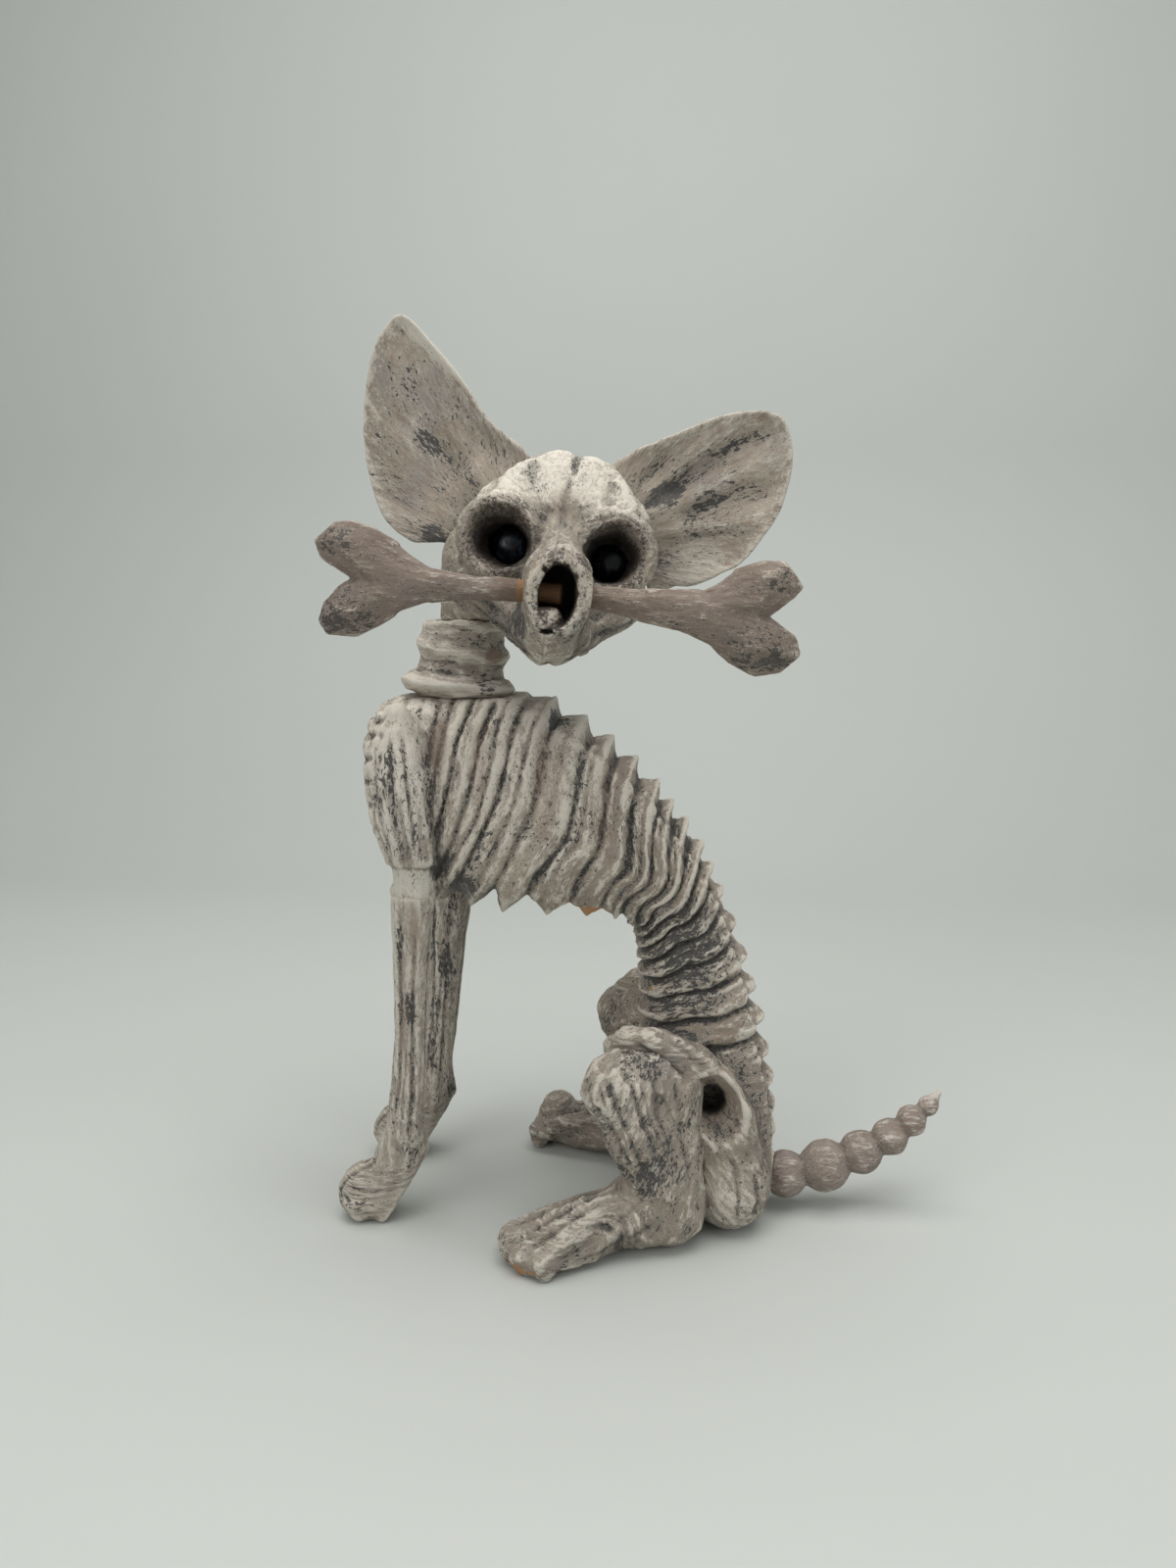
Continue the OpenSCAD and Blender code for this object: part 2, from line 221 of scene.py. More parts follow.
def prism(keys, sides, k=0.8, twist=0.0):
    """An upright limb with flat chisel planes. keys: z, centre x, centre y, radius; sides: angle of each plane and its share of the radius."""
    K = np.array(sorted(keys), float)

    def fn(X, Y, Z):
        z = np.clip(Z, K[0, 0], K[-1, 0])
        cx, cy, r = (np.interp(z, K[:, 0], K[:, i]) for i in (1, 2, 3))
        d = None
        for ang, f in sides:
            a = np.radians(ang + twist * (z - K[0, 0]))
            e = (X - cx) * np.cos(a) + (Y - cy) * np.sin(a) - r * f
            d = e if d is None else smax(d, e, k)
        return smax(d, np.abs(Z - (K[0, 0] + K[-1, 0]) / 2) - (K[-1, 0] - K[0, 0]) / 2 + 0 * d, 1.2)

    m = K[:, 3].max() * 1.35
    return fn, np.array([K[:, 1].min() - m, K[:, 2].min() - m, K[0, 0]]), np.array([K[:, 1].max() + m, K[:, 2].max() + m, K[-1, 0]])


def chain(F, pts, k=4, sq=(1, 1, 1)):
    for p, q in zip(pts[:-1], pts[1:]):
        F.add(cone(p[:3], q[:3], p[3], q[3], sq), k)


def nets(F, lo, h):
    """Surface nets: vertices and quads of the zero surface."""
    F = np.pad(F, 1, constant_values=30.0)
    lo = np.array(lo) - h
    S = F < 0
    c = sum(
        S[a : S.shape[0] - 1 + a, b : S.shape[1] - 1 + b, d : S.shape[2] - 1 + d].astype(np.int8)
        for a in (0, 1) for b in (0, 1) for d in (0, 1)
    )
    act = (c > 0) & (c < 8)
    idx = np.argwhere(act)
    cid = np.full(act.shape, -1, np.int32)
    cid[act] = np.arange(len(idx))
    corner = np.array([[a, b, d] for a in (0, 1) for b in (0, 1) for d in (0, 1)])
    val = np.stack([F[idx[:, 0] + q[0], idx[:, 1] + q[1], idx[:, 2] + q[2]] for q in corner], 1).astype(float)
    tot, cnt = np.zeros((len(idx), 3)), np.zeros(len(idx))
    for i in range(8):
        for j in range(i + 1, 8):
            if np.abs(corner[i] - corner[j]).sum() == 1:
                m = (val[:, i] < 0) != (val[:, j] < 0)
                t = val[m, i] / (val[m, i] - val[m, j])
                tot[m] += corner[i] + t[:, None] * (corner[j] - corner[i])
                cnt[m] += 1
    V = lo + h * (idx + tot / cnt[:, None])
    quads = []
    for ax in range(3):
        a = [slice(1, -1)] * 3
        a[ax] = slice(0, -1)
        b = list(a)
        b[ax] = slice(1, None)
        s0, s1 = S[tuple(a)], S[tuple(b)]
        m = np.argwhere(s0 != s1)
        flip = s0[tuple(m.T)]
        off = np.ones(3, int)
        off[ax] = 0
        e = m + off
        u, w = [(1, 2), (2, 0), (0, 1)][ax]
        du, dw = np.zeros(3, int), np.zeros(3, int)
        du[u], dw[w] = 1, 1
        q = np.stack([cid[tuple((e - du - dw).T)], cid[tuple((e - dw).T)], cid[tuple(e.T)], cid[tuple((e - du).T)]], 1)
        q[~flip] = q[~flip][:, ::-1]
        quads.append(q)
    Q = np.concatenate(quads)
    return V, Q[(Q >= 0).all(1)]


def adjacency(Q, n):
    e = np.concatenate([Q[:, [0, 1]], Q[:, [1, 2]], Q[:, [2, 3]], Q[:, [3, 0]]])
    return e, np.maximum(np.bincount(e[:, 0], minlength=n) + np.bincount(e[:, 1], minlength=n), 1)


def smooth_values(A, e, deg, times):
    for _ in range(times):
        T = np.zeros_like(A)
        for k in range(A.shape[1]):
            T[:, k] = np.bincount(e[:, 0], A[e[:, 1], k], len(A)) + np.bincount(e[:, 1], A[e[:, 0], k], len(A))
        A = 0.5 * A + 0.5 * T / deg[:, None]
    return A


def normals(V, Q):
    d1, d2 = V[Q[:, 2]] - V[Q[:, 0]], V[Q[:, 3]] - V[Q[:, 1]]
    fn = np.cross(d1, d2)
    N = np.zeros_like(V)
    for k in range(4):
        for j in range(3):
            N[:, j] += np.bincount(Q[:, k], fn[:, j], len(V))
    return N / np.maximum(np.linalg.norm(N, axis=1), 1e-9)[:, None]


def trilinear(F, lo, h, P):
    q = (P - lo) / h
    i = np.clip(np.floor(q).astype(int), 0, np.array(F.shape) - 2)
    f = np.clip(q - i, 0, 1)
    out = 0
    for a in (0, 1):
        for b in (0, 1):
            for c in (0, 1):
                w = (f[:, 0] if a else 1 - f[:, 0]) * (f[:, 1] if b else 1 - f[:, 1]) * (f[:, 2] if c else 1 - f[:, 2])
                out = out + w * F[i[:, 0] + a, i[:, 1] + b, i[:, 2] + c]
    return out


def box_blur(F, r):
    for ax in range(3):
        P = np.concatenate([np.repeat(F.take([0], ax), r + 1, ax), F, np.repeat(F.take([-1], ax), r, ax)], ax)
        C = np.cumsum(P, ax, dtype=np.float64)
        n = F.shape[ax]
        F = ((C.take(range(2 * r + 1, 2 * r + 1 + n), ax) - C.take(range(0, n), ax)) / (2 * r + 1)).astype(f32)
    return F


def facet(V, N, flow, size, strength, most, seed, keep=None):
    """Chisel cuts: each point moves toward the plane of the nearest cut. size: a cut's length and width."""
    r = np.random.default_rng(seed)
    G = flow * np.array([size[1] / size[0], 1, 1])
    # cuts spread by thinning random points in the stretched space
    cand = r.permutation(len(V))[: min(len(V), 5200)]
    kd = kdtree.KDTree(len(cand))
    for j, i in enumerate(cand):
        kd.insert(G[i], j)
    kd.balance()
    alive = np.ones(len(cand), bool)
    seeds = []
    for j, i in enumerate(cand):
        if alive[j]:
            seeds.append(i)
            for _, q, _ in kd.find_range(G[i], size[1]):
                alive[q] = False
    seeds = np.array(seeds)
    kd = kdtree.KDTree(len(seeds))
    for j, i in enumerate(seeds):
        kd.insert(G[i], j)
    kd.balance()
    near = np.array([kd.find(g)[1] for g in G])
    s = seeds[near]
    # a cut's plane is the mean plane of its own points
    m = len(seeds)
    cn = np.stack([np.bincount(near, N[:, k], m) for k in range(3)], 1)
    cn /= np.maximum(np.linalg.norm(cn, axis=1), 1e-9)[:, None]
    cc = np.stack([np.bincount(near, V[:, k], m) for k in range(3)], 1) / np.maximum(np.bincount(near, minlength=m), 1)[:, None]
    d = np.einsum("ij,ij->i", V - cc[near], cn[near])
    same = np.einsum("ij,ij->i", N, cn[near])
    w = strength * sstep(0.35, 0.75, same)
    if keep is not None:
        w = w * keep
    return V - cn[near] * np.clip(d * w, -most, most)[:, None]


def carve(V, N, lines):
    """Gouge strokes: each (points, width, depth). A stroke is pressed into whatever surface it runs along."""
    out = np.zeros(len(V))
    for pts, wd, dp in lines:
        pts = np.array(pts, float)
        best = np.full(len(V), 1e9)
        end = np.zeros(len(V))
        n = len(pts) - 1
        for i, (a, b) in enumerate(zip(pts[:-1], pts[1:])):
            e = b - a
            t = np.clip(((V - a) @ e) / (e @ e), 0, 1)
            D = V - (a + t[:, None] * e)
            hgt = np.einsum("ij,ij->i", D, N)
            tan = np.sqrt(np.maximum((D * D).sum(1) - hgt * hgt, 0)) + 2.5 * np.maximum(np.abs(hgt) - 6, 0)
            m = tan < best
            best = np.where(m, tan, best)
            u = (i + t) / n
            end = np.where(m, np.minimum(u, 1 - u), end)
        g = np.exp(-((best / wd) ** 1.6)) * (0.25 + 0.75 * sstep(0.0, 0.18, end))
        out = np.maximum(out, dp * g)
    return out


def piece(name, field, flow_fn, mat, smooth=2, cut=None, rough=None, masks=None, keep_fn=None, grooves=None):
    """Mesh of a field in the row frame, with its grain, hollow and colour attributes."""
    h = field.h
    V, Q = nets(field.F, field.lo, h)
    n = len(V)
    e, deg = adjacency(Q, n)
    V = smooth_values(V, e, deg, smooth)
    flow = flow_fn(V)
    N = normals(V, Q)
    keep = keep_fn(V) if keep_fn else np.ones(n)
    if cut:
        for j, (size, strength, most) in enumerate(cut):
            V = facet(V, N, flow, size, strength, most, 11 + j + len(name), keep)
        V = smooth_values(V, e, deg, 1)
        N = normals(V, Q)
    if grooves:
        gd = carve(V, N, grooves)
        V = V - N * gd[:, None]
        N = normals(V, Q)
    if rough:
        for amp, sc, seed in rough:
            V = V + N * ((vnoise(flow, sc, seed) - 0.5) * 2 * amp * keep)[:, None]
        N = normals(V, Q)
    # hollowness: how far a wide and a narrow mean of the field differ from the surface
    r1, r2 = max(1, int(round(2.2 / h))), max(2, int(round(5.5 / h)))
    C = np.clip(field.F, -8, 8)
    cav1 = -trilinear(box_blur(C, r1), field.lo, h, V)
    cav2 = -trilinear(box_blur(C, r2), field.lo, h, V)
    # local curvature of the finished mesh
    Vs = smooth_values(V, e, deg, 10)
    curv = np.einsum("ij,ij->i", V - Vs, N)
    W = V @ field.M.T + field.c
    me = bpy.data.meshes.new(name)
    me.from_pydata(((W + SHIFT) * 0.001).tolist(), [], Q.tolist())
    me.validate()
    me.polygons.foreach_set("use_smooth", np.ones(len(me.polygons), bool))

    def put(key, a, kind="FLOAT"):
        at = me.attributes.new(key, kind, "POINT")
        at.data.foreach_set("vector" if kind == "FLOAT_VECTOR" else "value", np.ascontiguousarray(a, f32).ravel())

    put("flow", flow, "FLOAT_VECTOR")
    m = masks(W, V, N @ field.M.T) if masks else {}
    put("hollow", np.clip(cav1 * 0.55 + cav2 * 0.28, -1.5, 1.5) * (1 - m.get("flat", np.zeros(n))))
    put("edge", np.clip(curv * (1.0), -1.5, 1.5))
    for key in ("chip", "dark", "pale", "brown", "painted_recess_shade"):
        put(key, m.get(key, np.zeros(n)))
    ob = bpy.data.objects.new(name, me)
    bpy.context.scene.collection.objects.link(ob)
    me.materials.append(mat)
    print(f"[piece] {name}: {n} vertices")
    return ob


def blob(W, pts):
    """Soft spots: each (centre, radii, strength)."""
    out = np.zeros(len(W))
    for c, r, s in pts:
        d = np.sqrt((((W - np.array(c)) / np.array(r)) ** 2).sum(1))
        out = np.maximum(out, s * (1 - sstep(0.6, 1.15, d)))
    return out


# ---------------------------------------------------------------- materials
def nodes_of(name):
    m = bpy.data.materials.new(name)
    m.use_nodes = True
    nt = m.node_tree
    nt.nodes.clear()
    return m, nt


class N:
    """Short helpers for one node tree."""

    def __init__(self, nt):
        self.nt = nt

    def new(self, kind, **kw):
        n = self.nt.nodes.new(kind)
        for k, v in kw.items():
            setattr(n, k, v)
        return n

    def link(self, a, b):
        self.nt.links.new(a, b)

    def attr(self, name, vec=False):
        n = self.new("ShaderNodeAttribute", attribute_name=name)
        return n.outputs["Vector" if vec else "Fac"]

    def put(self, sock, v):
        if hasattr(v, "is_output") or hasattr(v, "links"):
            self.link(v, sock)
        else:
            sock.default_value = v

    def math(self, op, a, b=0.0, c=0.0, clamp=False):
        n = self.new("ShaderNodeMath", operation=op, use_clamp=clamp)
        for i, v in enumerate((a, b, c)):
            if i < len(n.inputs):
                self.put(n.inputs[i], v)
        return n.outputs[0]

    def vmul(self, v, k):
        n = self.new("ShaderNodeVectorMath", operation="MULTIPLY")
        self.put(n.inputs[0], v)
        n.inputs[1].default_value = k
        return n.outputs[0]

    def vadd(self, v, k):
        n = self.new("ShaderNodeVectorMath", operation="ADD")
        self.put(n.inputs[0], v)
        self.put(n.inputs[1], k)
        return n.outputs[0]

    def noise(self, v, scale=1.0, detail=3.0, rough=0.55, dist=0.0):
        n = self.new("ShaderNodeTexNoise")
        self.link(v, n.inputs["Vector"])
        n.inputs["Scale"].default_value = scale
        n.inputs["Detail"].default_value = detail
        n.inputs["Roughness"].default_value = rough
        n.inputs["Distortion"].default_value = dist
        return n.outputs["Fac"]

    def step(self, v, a, b):
        n = self.new("ShaderNodeMapRange", interpolation_type="SMOOTHSTEP", clamp=True)
        self.put(n.inputs["Value"], v)
        n.inputs["From Min"].default_value = a
        n.inputs["From Max"].default_value = b
        return n.outputs["Result"]

    def mix(self, f, a, b, mode="MIX"):
        n = self.new("ShaderNodeMix", data_type="RGBA", blend_type=mode)
        self.put(n.inputs[0], f)
        for s, v in ((n.inputs[6], a), (n.inputs[7], b)):
            self.put(s, v if hasattr(v, "links") else (*v, 1.0) if len(v) == 3 else v)
        return n.outputs[2]


def srgb(h):
    c = [int(h[i : i + 2], 16) / 255 for i in (0, 2, 4)]
    return tuple(x / 12.92 if x <= 0.04045 else ((x + 0.055) / 1.055) ** 2.4 for x in c)


def washed(name, coat, coat2, light, under="2f2f30", dark_k=0.0, white_k=0.0, brown="7d6657", tint="8c8784", gloss=0.0, fleck=1.0, st=1.0, rim=1.0, grainy=0.30, wood=("8d6140", "c79a6c")):
    """Whitewash rubbed through to a charcoal undercoat, streaked along the grain, with painted shade in hollows and
    recesses.
    """
    m, nt = nodes_of(name)
    g = N(nt)
    flow = g.attr("flow", True)
    hollow, edge = g.attr("hollow"), g.attr("edge")
    chip, darkm, pale, brownm, painted_recess_shade = (g.attr(k) for k in ("chip", "dark", "pale", "brown", "painted_recess_shade"))
    pos = g.new("ShaderNodeTexCoord").outputs["Object"]
    mm = g.vmul(pos, (1000, 1000, 1000))
    # broad tone of the coat, in patches a few centimetres across
    big = g.noise(g.vmul(flow, (0.022, 0.06, 0.06)), 1.0, 3, 0.55)
    big2 = g.noise(g.vadd(g.vmul(mm, (0.05, 0.05, 0.05)), (31.0, 7.0, 3.0)), 1.0, 2, 0.5)
    # brush streaks along the grain
    brush = g.noise(g.vmul(flow, (0.085 * st, 0.62 / st, 0.62 / st)), 1.0, 8, 0.72)
    fine = g.noise(g.vmul(flow, (0.30 * st, 2.3, 2.3)), 1.0, 5, 0.70)
    # flecks where the coat is rubbed off: short, along the grain, in clusters
    warp = g.vadd(g.vmul(flow, (0.30, 0.92, 0.92)), (5.0, 9.0, 2.0))
    fl = g.noise(warp, 1.0, 6, 0.68, 0.35)
    fl2 = g.noise(g.vadd(g.vmul(mm, (0.5, 0.5, 0.5)), (3.0, 1.0, 8.0)), 1.0, 5, 0.7, 0.2)
    cluster = g.noise(g.vadd(g.vmul(flow, (0.045, 0.085, 0.085)), (2.0, 5.0, 11.0)), 1.0, 2, 0.5)
    # coat colour
    col = g.mix(g.step(big, 0.38, 0.66), srgb(coat), srgb(coat2))
    col = g.mix(g.math("MULTIPLY", g.step(big2, 0.5, 0.72), 0.45), col, srgb(tint))
    col = g.mix(g.math("MULTIPLY", g.step(brush, 0.52, 0.34), 0.55), col, srgb(brown))
    col = g.mix(g.math("MULTIPLY", pale, 0.50, clamp=True), col, srgb(light))
    # white dry brushing on ridges and rims
    w = g.math("ADD", g.math("MULTIPLY", brush, 0.75), g.math("MULTIPLY", fine, 0.50))
    w = g.math("ADD", w, g.math("MULTIPLY", edge, 0.34 * rim))
    w = g.math("ADD", w, g.math("MULTIPLY", hollow, -0.16))
    w = g.math("ADD", w, g.math("MULTIPLY", pale, 0.22))
    w = g.math("ADD", w, white_k)
    whites = g.step(w, 0.715, 0.86)
    col = g.mix(g.math("MULTIPLY", whites, 0.66), col, srgb(light))
    # thin shade in hollows
    shade = g.math("MULTIPLY", g.step(g.math("ADD", hollow, g.math("MULTIPLY", edge, -0.5)), -0.05, 0.75), g.math("SUBTRACT", 1.0, g.math("MULTIPLY", pale, 0.45), clamp=True))
    col = g.mix(g.math("MULTIPLY", shade, 0.55), col, srgb("453e38"))
    # charcoal showing through; the dark mask also carries painted shade in the eye sockets, the mouth and a hip bowl
    d = g.math("ADD", g.math("MULTIPLY", fl, 0.85), g.math("MULTIPLY", fl2, 0.30))
    d = g.math("ADD", d, g.math("MULTIPLY", cluster, 0.30))
    d = g.math("ADD", d, g.math("MULTIPLY", hollow, 0.11))
    d = g.math("ADD", d, g.math("MULTIPLY", darkm, 0.17))
    d = g.math("ADD", d, g.math("MULTIPLY", g.math("ABSOLUTE", edge), 0.05 + 0.20 * (1 - rim)))
    d = g.math("ADD", d, g.math("MULTIPLY", pale, -0.05))
    d = g.math("ADD", d, dark_k)
    darks = g.step(d, 0.800, 0.822)
    halo = g.step(d, 0.765, 0.80)
    col = g.mix(g.math("MULTIPLY", halo, 0.52), col, srgb(light))
    ucol = g.mix(g.step(fine, 0.44, 0.66), srgb(under), srgb("4b4845"))
    col = g.mix(g.math("MULTIPLY", darks, 0.93 * fleck), col, ucol)
    # small dark specks
    sp = g.noise(g.vadd(g.vmul(flow, (0.55, 1.7, 1.7)), (9.0, 2.0, 5.0)), 1.0, 5, 0.72, 0.3)
    sp = g.math("ADD", sp, g.math("ADD", g.math("MULTIPLY", cluster, 0.16), g.math("MULTIPLY", hollow, 0.05)))
    col = g.mix(g.math("MULTIPLY", g.step(sp, 0.672, 0.70), 0.82 * fleck), col, ucol)
    # white flecks over everything
    wf = g.step(g.math("ADD", g.noise(g.vadd(g.vmul(flow, (0.62, 1.35, 1.35)), (15.0, 3.0, 7.0)), 1.0, 6, 0.74, 0.5), g.math("MULTIPLY", edge, 0.16 * rim)), 0.665, 0.70)
    col = g.mix(g.math("MULTIPLY", wf, 0.48), col, srgb(light))
    # the finest speckle, denser where the coat is broken
    micro = g.noise(g.vadd(g.vmul(flow, (1.0, 2.4, 2.4)), (1.0, 12.0, 4.0)), 1.0, 4, 0.8, 0.4)
    mk = g.math("ADD", 0.35, g.math("MULTIPLY", g.step(cluster, 0.40, 0.58), 0.65))
    col = g.mix(g.math("MULTIPLY", g.math("MULTIPLY", g.step(micro, 0.585, 0.64), mk), 0.50), col, srgb(light))
    col = g.mix(g.math("MULTIPLY", g.math("MULTIPLY", g.step(micro, 0.41, 0.36), mk), 0.62), col, ucol)
    # fine grain
    col = g.mix(grainy, col, g.mix(fine, (0.25, 0.24, 0.23), (0.86, 0.86, 0.86)), "OVERLAY")
    # stained brown streaks, with the brown mask also carrying painted shade in the eye sockets, the mouth and a hip
    # bowl, and bare wood chips
    bmask = g.math("MULTIPLY", brownm, g.step(brush, 0.25, 0.6), clamp=True)
    col = g.mix(g.math("MULTIPLY", bmask, 0.8), col, srgb(brown))
    grain = g.noise(g.vmul(flow, (0.10, 3.2, 3.2)), 1.0, 4, 0.6)
    cw = g.mix(grain, srgb(wood[0]), srgb(wood[1]))
    col = g.mix(g.step(g.math("ADD", chip, g.math("MULTIPLY", g.math("SUBTRACT", fl, 0.5), 0.9)), 0.42, 0.56), col, cw)
    # painted shade: near black in the deepest recesses, the hip holes, the eye sockets and the inside of the muzzle
    col = g.mix(g.math("MULTIPLY", painted_recess_shade, 0.88, clamp=True), col, srgb("1d1815"))
    # height of the paint: chips lie lower, streaks stand a little
    hgt = g.math("ADD", g.math("MULTIPLY", darks, -0.20), g.math("MULTIPLY", brush, 0.55))
    hgt = g.math("ADD", hgt, g.math("MULTIPLY", fine, 0.22))
    hgt = g.math("ADD", hgt, g.math("MULTIPLY", fl, 0.35))
    bump = g.new("ShaderNodeBump")
    bump.inputs["Strength"].default_value = 0.85
    bump.inputs["Distance"].default_value = 0.0009
    g.link(hgt, bump.inputs["Height"])
    rgh = g.math("ADD", g.math("MULTIPLY", darks, -0.16), g.math("ADD", g.math("MULTIPLY", brush, 0.18), 0.60 - gloss))
    bs = g.new("ShaderNodeBsdfPrincipled")
    g.link(col, bs.inputs["Base Color"])
    g.link(rgh, bs.inputs["Roughness"])
    g.link(bump.outputs[0], bs.inputs["Normal"])
    bs.inputs["Specular IOR Level"].default_value = 0.32
    out = g.new("ShaderNodeOutputMaterial")
    g.link(bs.outputs[0], out.inputs[0])
    return m


def bare(name, a="6f5138", b="a98157", along=(0.1, 3.0, 3.0), use_flow=True):
    m, nt = nodes_of(name)
    g = N(nt)
    if use_flow:
        v = g.attr("flow", True)
    else:
        v = g.vmul(g.new("ShaderNodeTexCoord").outputs["Object"], (1000, 1000, 1000))
    gr = g.noise(g.vmul(v, along), 1.0, 4, 0.6)
    bg = g.noise(g.vmul(v, (0.08, 0.2, 0.2)), 1.0, 2, 0.5)
    col = g.mix(gr, srgb(a), srgb(b))
    col = g.mix(g.math("MULTIPLY", g.step(bg, 0.45, 0.7), 0.4), col, srgb("5c4630"))
    bump = g.new("ShaderNodeBump")
    bump.inputs["Strength"].default_value = 0.5
    bump.inputs["Distance"].default_value = 0.0004
    g.link(gr, bump.inputs["Height"])
    bs = g.new("ShaderNodeBsdfPrincipled")
    g.link(col, bs.inputs["Base Color"])
    g.link(bump.outputs[0], bs.inputs["Normal"])
    g.link(g.math("ADD", g.math("MULTIPLY", gr, 0.2), 0.55), bs.inputs["Roughness"])
    out = g.new("ShaderNodeOutputMaterial")
    g.link(bs.outputs[0], out.inputs[0])
    return m


def eye_black():
    m, nt = nodes_of("eye_black")
    g = N(nt)
    v = g.vmul(g.new("ShaderNodeTexCoord").outputs["Object"], (1000, 1000, 1000))
    sm = g.noise(g.vmul(v, (0.55, 0.2, 0.25)), 1.0, 4, 0.6, 0.4)
    col = g.mix(g.step(sm, 0.5, 0.72), srgb("0b0e16"), srgb("3b4350"))
    bump = g.new("ShaderNodeBump")
    bump.inputs["Strength"].default_value = 0.6
    bump.inputs["Distance"].default_value = 0.0006
    g.link(sm, bump.inputs["Height"])
    bs = g.new("ShaderNodeBsdfPrincipled")
    g.link(col, bs.inputs["Base Color"])
    g.link(bump.outputs[0], bs.inputs["Normal"])
    g.link(g.math("ADD", g.math("MULTIPLY", sm, 0.22), 0.24), bs.inputs["Roughness"])
    bs.inputs["Coat Weight"].default_value = 0.12
    out = g.new("ShaderNodeOutputMaterial")
    g.link(bs.outputs[0], out.inputs[0])
    return m


BODY = washed("body_wash", "8a8074", "9c9284", "d6cfc3", dark_k=0.017, grainy=0.42, st=1.6)
NECKM = washed("neck_wash", "948a7e", "a79d91", "d6cfc3", dark_k=0.016)
HEADM = washed("skull_wash", "857c70", "9a9183", "dbd4c7", dark_k=0.0, white_k=0.0)
EARM = washed("ear_wash", "93897c", "a79d90", "cbc5ba", dark_k=0.016, white_k=0.012, tint="8a8688", st=1.4, rim=0.3, grainy=0.42)
BONEM = washed("bone_wash", "75685e", "84776d", "c2b9ac", under="3b3430", dark_k=-0.004, white_k=-0.01, grainy=0.55, brown="5f4c40", tint="766c69", wood=("6a4d38", "94714f"))
TAILM = washed("tail_wash", "82766c", "92867d", "d6cfc5", under="4a4441", dark_k=-0.03, white_k=0.0, tint="7f7173", gloss=0.08)
BARE = bare("bare_wood")
BARE_CAD = bare("bare_wood_plain", use_flow=False)
EYE = eye_black()


# ---------------------------------------------------------------- trunk
TRUNK = np.array([
    [-101, 224, -99, 198, 9], [-92, 237, -95, 178, 27], [-73, 243, -84, 158, 37.5], [-45, 245, -70, 148, 43],
    [-17, 241, -58, 147, 44], [3, 230, -46, 144, 43.5], [20, 215.5, -33, 143, 42], [35, 200, -18, 143, 39.5], [47.5, 183, -4, 143, 35.5],
    [56, 168, 9, 142, 31], [63, 152.5, 18, 138, 26], [70, 135, 21.5, 127, 22.5], [76, 116, 22.5, 112, 21], [81, 96, 23, 95, 21.5],
    [85.5, 74, 24, 76, 23], [88, 52, 26, 54, 25], [88.5, 32, 28, 34, 26], [87, 16, 30, 17, 25], [82, 5, 34, 5, 22], [76, 0, 40, 0, 16]], float)
# Grooves between the ribs: place along the trunk at the back, on the flank and at the belly
G_BACK = [0.9, 1.7, 2.45, 2.9, 3.25, 3.7, 4.3, 5.1, 5.75, 6.4, 7.05, 7.5, 8.05, 8.8, 9.4, 10.1, 11.05, 11.85, 12.6, 13.3, 14.05, 14.6, 15.2, 15.75, 16.4]
G_MID = [0.9, 1.7, 2.5, 3.0, 3.45, 4.0, 4.9, 5.8, 6.7, 7.6, 8.3, 8.8, 9.2, 9.75, 10.2, 10.75, 11.45, 12.15, 12.85, 13.5, 14.15, 14.75, 15.35, 15.9, 16.5]
G_BELLY = [0.9, 1.7, 2.3, 2.6, 2.95, 3.6, 4.9, 6.2, 7.45, 8.75, 9.55, 9.9, 10.25, 10.65, 11.05, 11.45, 11.95, 12.5, 13.1, 13.7, 14.3, 14.9, 15.45, 16.0, 16.5]


def catmull(L, t):
    n = len(L)
    i = np.minimum(np.floor(t).astype(int), n - 2)
    f = (t - i)[:, None]
    a, b, c, d = L[np.maximum(i - 1, 0)], L[i], L[i + 1], L[np.minimum(i + 2, n - 1)]
    return 0.5 * (2 * b + (c - a) * f + (2 * a - 5 * b + 4 * c - d) * f * f + (3 * b - a - 3 * c + d) * f ** 3)


T_FINE = np.linspace(0, len(TRUNK) - 1, 760)
S_FINE = catmull(TRUNK, T_FINE)


def trunk_tv(x, z):
    """Place along the trunk t, place across it v (-1 belly, 1 back) for points x, z."""
    sh = np.broadcast(x, z).shape
    x, z = np.broadcast_to(x, sh).ravel().astype(f32), np.broadcast_to(z, sh).ravel().astype(f32)
    count = np.zeros(len(x), np.int32)
    for i in range(0, len(T_FINE)):
        s = S_FINE[i]
        bx, bz = s[0] - s[2], s[1] - s[3]
        # normal toward larger t
        nx, nz = bz, -bx
        count += ((x - s[2]) * nx + (z - s[3]) * nz) >= 0
    t = np.clip((count - 0.5) * (T_FINE[1] - T_FINE[0]), 0, len(TRUNK) - 1)
    # finish between two samples
    i = np.clip(count - 1, 0, len(T_FINE) - 2)
    g = []
    for k in (i, i + 1):
        s = S_FINE[k]
        bx, bz = s[:, 0] - s[:, 2], s[:, 1] - s[:, 3]
        g.append(((x - s[:, 2]) * bz - (z - s[:, 3]) * bx) / np.sqrt(bx * bx + bz * bz))
    fr = np.clip(g[0] / np.where(np.abs(g[0] - g[1]) < 1e-6, 1e-6, g[0] - g[1]), 0, 1)
    t = T_FINE[i] + fr * (T_FINE[1] - T_FINE[0])
    s = np.stack([np.interp(t, T_FINE, S_FINE[:, k]) for k in range(5)], 1)
    bx, bz = s[:, 0] - s[:, 2], s[:, 1] - s[:, 3]
    L2 = bx * bx + bz * bz
    v = 2 * ((x - s[:, 2]) * bx + (z - s[:, 3]) * bz) / L2 - 1
    off = ((x - s[:, 2]) * bz - (z - s[:, 3]) * bx) / np.sqrt(L2)
    return t.reshape(sh), v.reshape(sh), np.sqrt(L2).reshape(sh) / 2, s[:, 4].reshape(sh), off.reshape(sh)


